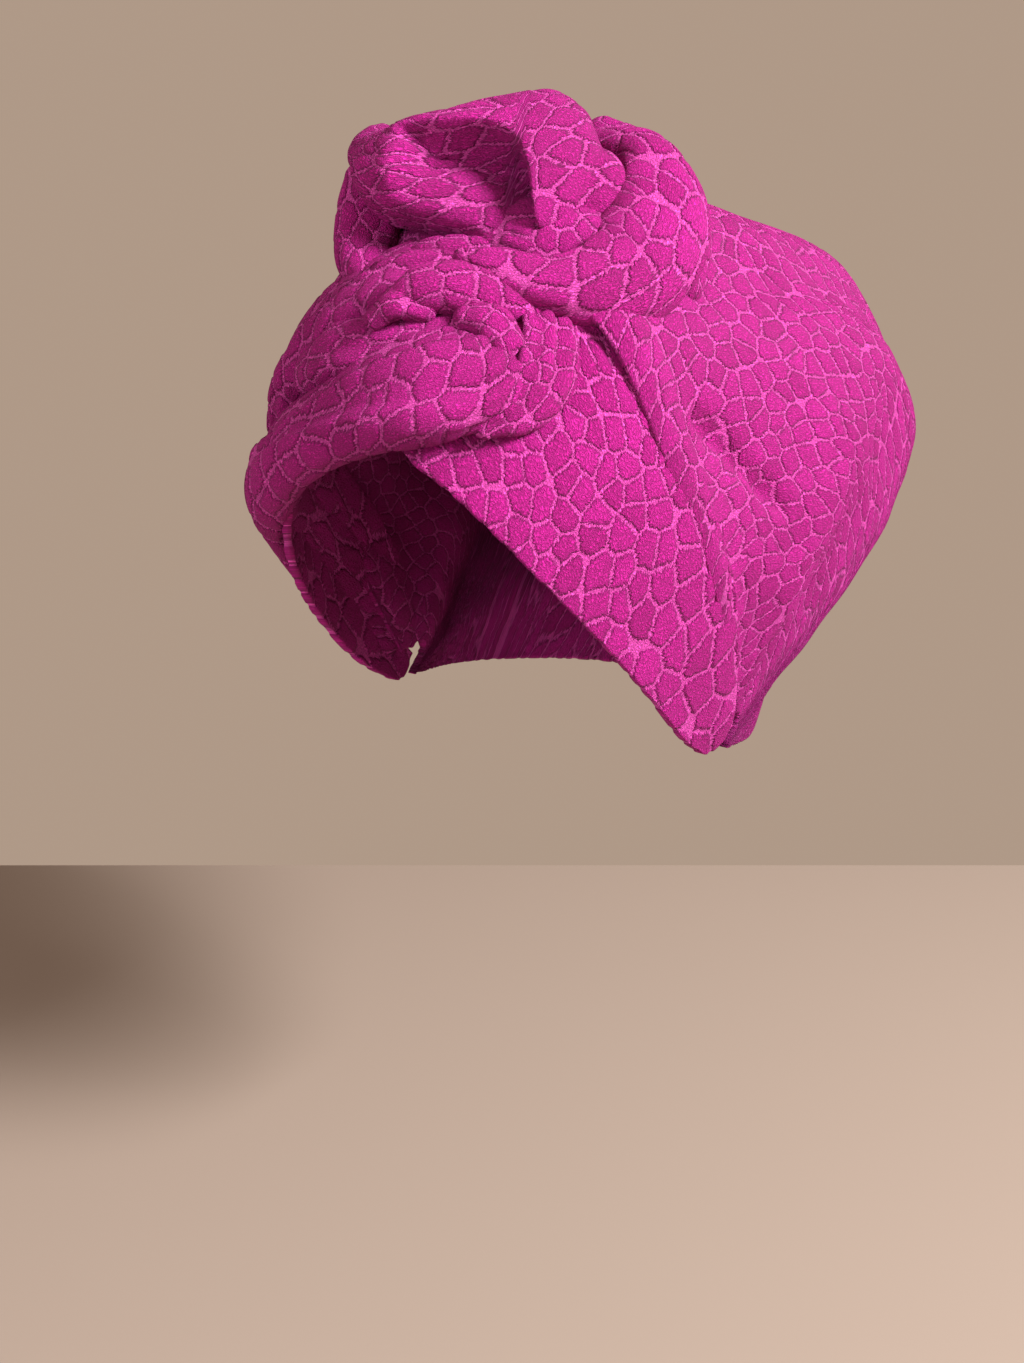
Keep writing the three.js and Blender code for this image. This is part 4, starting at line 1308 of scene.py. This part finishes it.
# %% Wind the outer ring
KNOT_OUTER_BAND = table(
    COLUMNS,
    [
        (0.0, 0.77, 0.74, 0.34, 0.3),
        (0.25, 0.85, 0.63, 0.36, 0.32),
        (0.43, 0.86, 0.46, 0.44, 0.36),
        (0.58, 0.74, 0.25, 0.44, 0.36),
        (0.67, 0.57, 0.05, 0.36, 0.3),
    ],
)
KNOT_BACK_FOLD = table(
    COLUMNS,
    [
        (0.5, 0.72, 0.42, 0.5, 0.5),
        (0.15, 0.86, 0.5, 0.72, 0.62),
        (-0.3, 0.74, 0.5, 0.8, 0.66),
        (-0.68, 0.42, 0.44, 0.76, 0.62),
        (-0.9, 0.02, 0.4, 0.6, 0.5),
    ],
)
KNOT_SIDE_FOLD = table(
    COLUMNS,
    [
        (-0.86, -0.2, 0.54, 0.48, 0.36),
        (-0.87, -0.27, 0.36, 0.5, 0.36),
        (-0.83, -0.34, 0.2, 0.48, 0.36),
        (-0.68, -0.42, 0.1, 0.4, 0.3),
    ],
)
knot_fold("knot_outer_band", KNOT_OUTER_BAND, TOWARDS_FRONT_LEFT, ((9, 4), (9, 4)), 12)
knot_fold("knot_back_fold", KNOT_BACK_FOLD, UPWARDS, ((10, 8), (10, 8)), 13)
knot_fold("knot_side_fold", KNOT_SIDE_FOLD, TOWARDS_FRONT_LEFT, ((10, 6), (10, 6)), 14)

# %% [markdown]
# ## Inside the knot
# A small roll arches over the brow fold, another crosses the hollow under the upper fold, and the twisted
# core lies behind them all. The core could be twisted strand by strand, but it is hardly seen, so it is a
# plain fat roll.

# %% Wind the folds inside the knot
KNOT_ARCH_FOLD = table(
    COLUMNS,
    [
        (-0.21, -0.81, 0.05, 0.22, 0.25),
        (-0.09, -0.75, 0.11, 0.33, 0.32),
        (0.04, -0.66, 0.12, 0.37, 0.34),
        (0.16, -0.55, 0.08, 0.33, 0.34),
        (0.26, -0.44, 0.03, 0.27, 0.3),
        (0.36, -0.3, -0.01, 0.2, 0.24),
    ],
)
KNOT_INNER_FOLD = table(
    COLUMNS,
    [
        (-0.5, -0.36, 0.2, 0.16, 0.24),
        (-0.32, -0.32, 0.23, 0.24, 0.3),
        (-0.12, -0.24, 0.24, 0.24, 0.3),
        (0.08, -0.16, 0.22, 0.18, 0.26),
    ],
)
KNOT_CORE = table(
    COLUMNS,
    [
        (-0.5, 0.1, 0.16, 0.9, 0.9),
        (-0.2, 0.14, 0.2, 1.2, 1.0),
        (0.15, 0.18, 0.2, 1.2, 1.0),
        (0.4, 0.2, 0.14, 0.9, 0.9),
    ],
)
knot_fold("knot_arch_fold", KNOT_ARCH_FOLD, TOWARDS_FRONT_LEFT, ((9, 8), (9, 8)), 15)
knot_fold("knot_inner_fold", KNOT_INNER_FOLD, TOWARDS_FRONT_LEFT, ((9, 7), (9, 7)), 16)
knot_fold("knot_core", KNOT_CORE, UPWARDS, ((10, 8), (10, 8)), 17)

# %% [markdown]
# ## The floor
# The set is plain, with a pale warm floor and a beige room. A wall would give the room its shading, but it
# would hide the wrap when it is looked at from behind, so the room is only a background colour.

# %% Lay the floor
FLOOR_HEIGHT = -0.31
FLOOR_NEAR_EDGE = -3.0
FLOOR_FAR_EDGE = 0.374
STAGE_HALF_WIDTH = 3.0
FLOOR_COLOUR = (0.26, 0.207, 0.175, 1.0)


def floor_finish():
    material = bpy.data.materials.new("floor_finish")
    material.use_nodes = True
    shader = material.node_tree.nodes["Principled BSDF"]
    shader.inputs["Base Color"].default_value = FLOOR_COLOUR
    shader.inputs["Roughness"].default_value = 0.9
    shader.inputs["Specular IOR Level"].default_value = 0.1
    return material


def stage_point(right, away, height):
    place = TO_RIGHT * right - TO_CAMERA * away + UP * height
    return tuple(float(x) for x in place)


floor_corners = [
    (-STAGE_HALF_WIDTH, FLOOR_NEAR_EDGE),
    (STAGE_HALF_WIDTH, FLOOR_NEAR_EDGE),
    (STAGE_HALF_WIDTH, FLOOR_FAR_EDGE),
    (-STAGE_HALF_WIDTH, FLOOR_FAR_EDGE),
]
floor_mesh = bpy.data.meshes.new("floor")
floor_places = [stage_point(right, away, FLOOR_HEIGHT) for right, away in floor_corners]
floor_mesh.from_pydata(floor_places, [], [(0, 1, 2, 3)])
floor_mesh.materials.append(floor_finish())
floor = bpy.data.objects.new("floor", floor_mesh)
bpy.context.scene.collection.objects.link(floor)
print("the floor lies", -FLOOR_HEIGHT, "m below the brow")

# %% [markdown]
# ## The light
# One soft light from above and the right gives the creases their shadows. A wide weak one from the left
# and the room's own colour keep those shadows open. A sky texture would do too, but two lamps can be
# matched one at a time.

# %% Light it softly
KEY_PLACE = stage_point(1.25, -0.85, 1.0)
KEY_POWER = 104.0
KEY_SIZE = 0.45
KEY_COLOUR = (1.0, 0.98, 0.95)
FILL_PLACE = stage_point(-1.0, -1.1, 0.4)
FILL_POWER = 16.0
FILL_SIZE = 1.2
FILL_COLOUR = (1.0, 0.95, 0.9)
ROOM_COLOUR = (0.43, 0.32, 0.245, 1.0)


def soft_light(name, place, power, size, colour):
    lamp = bpy.data.lights.new(name, "AREA")
    lamp.energy = power
    lamp.size = size
    lamp.color = colour
    light = bpy.data.objects.new(name, lamp)
    light.location = place
    light.rotation_mode = "QUATERNION"
    light.rotation_quaternion = (-Vector(place)).to_track_quat("-Z", "Y")
    bpy.context.scene.collection.objects.link(light)


soft_light("key_light", KEY_PLACE, KEY_POWER, KEY_SIZE, KEY_COLOUR)
soft_light("fill_light", FILL_PLACE, FILL_POWER, FILL_SIZE, FILL_COLOUR)
world = bpy.data.worlds.new("room")
world.use_nodes = True
world.node_tree.nodes["Background"].inputs["Color"].default_value = ROOM_COLOUR
bpy.context.scene.world = world
bpy.context.scene.view_settings.view_transform = "Standard"
print("key light at", [round(x, 3) for x in KEY_PLACE], "with", KEY_POWER, "W")
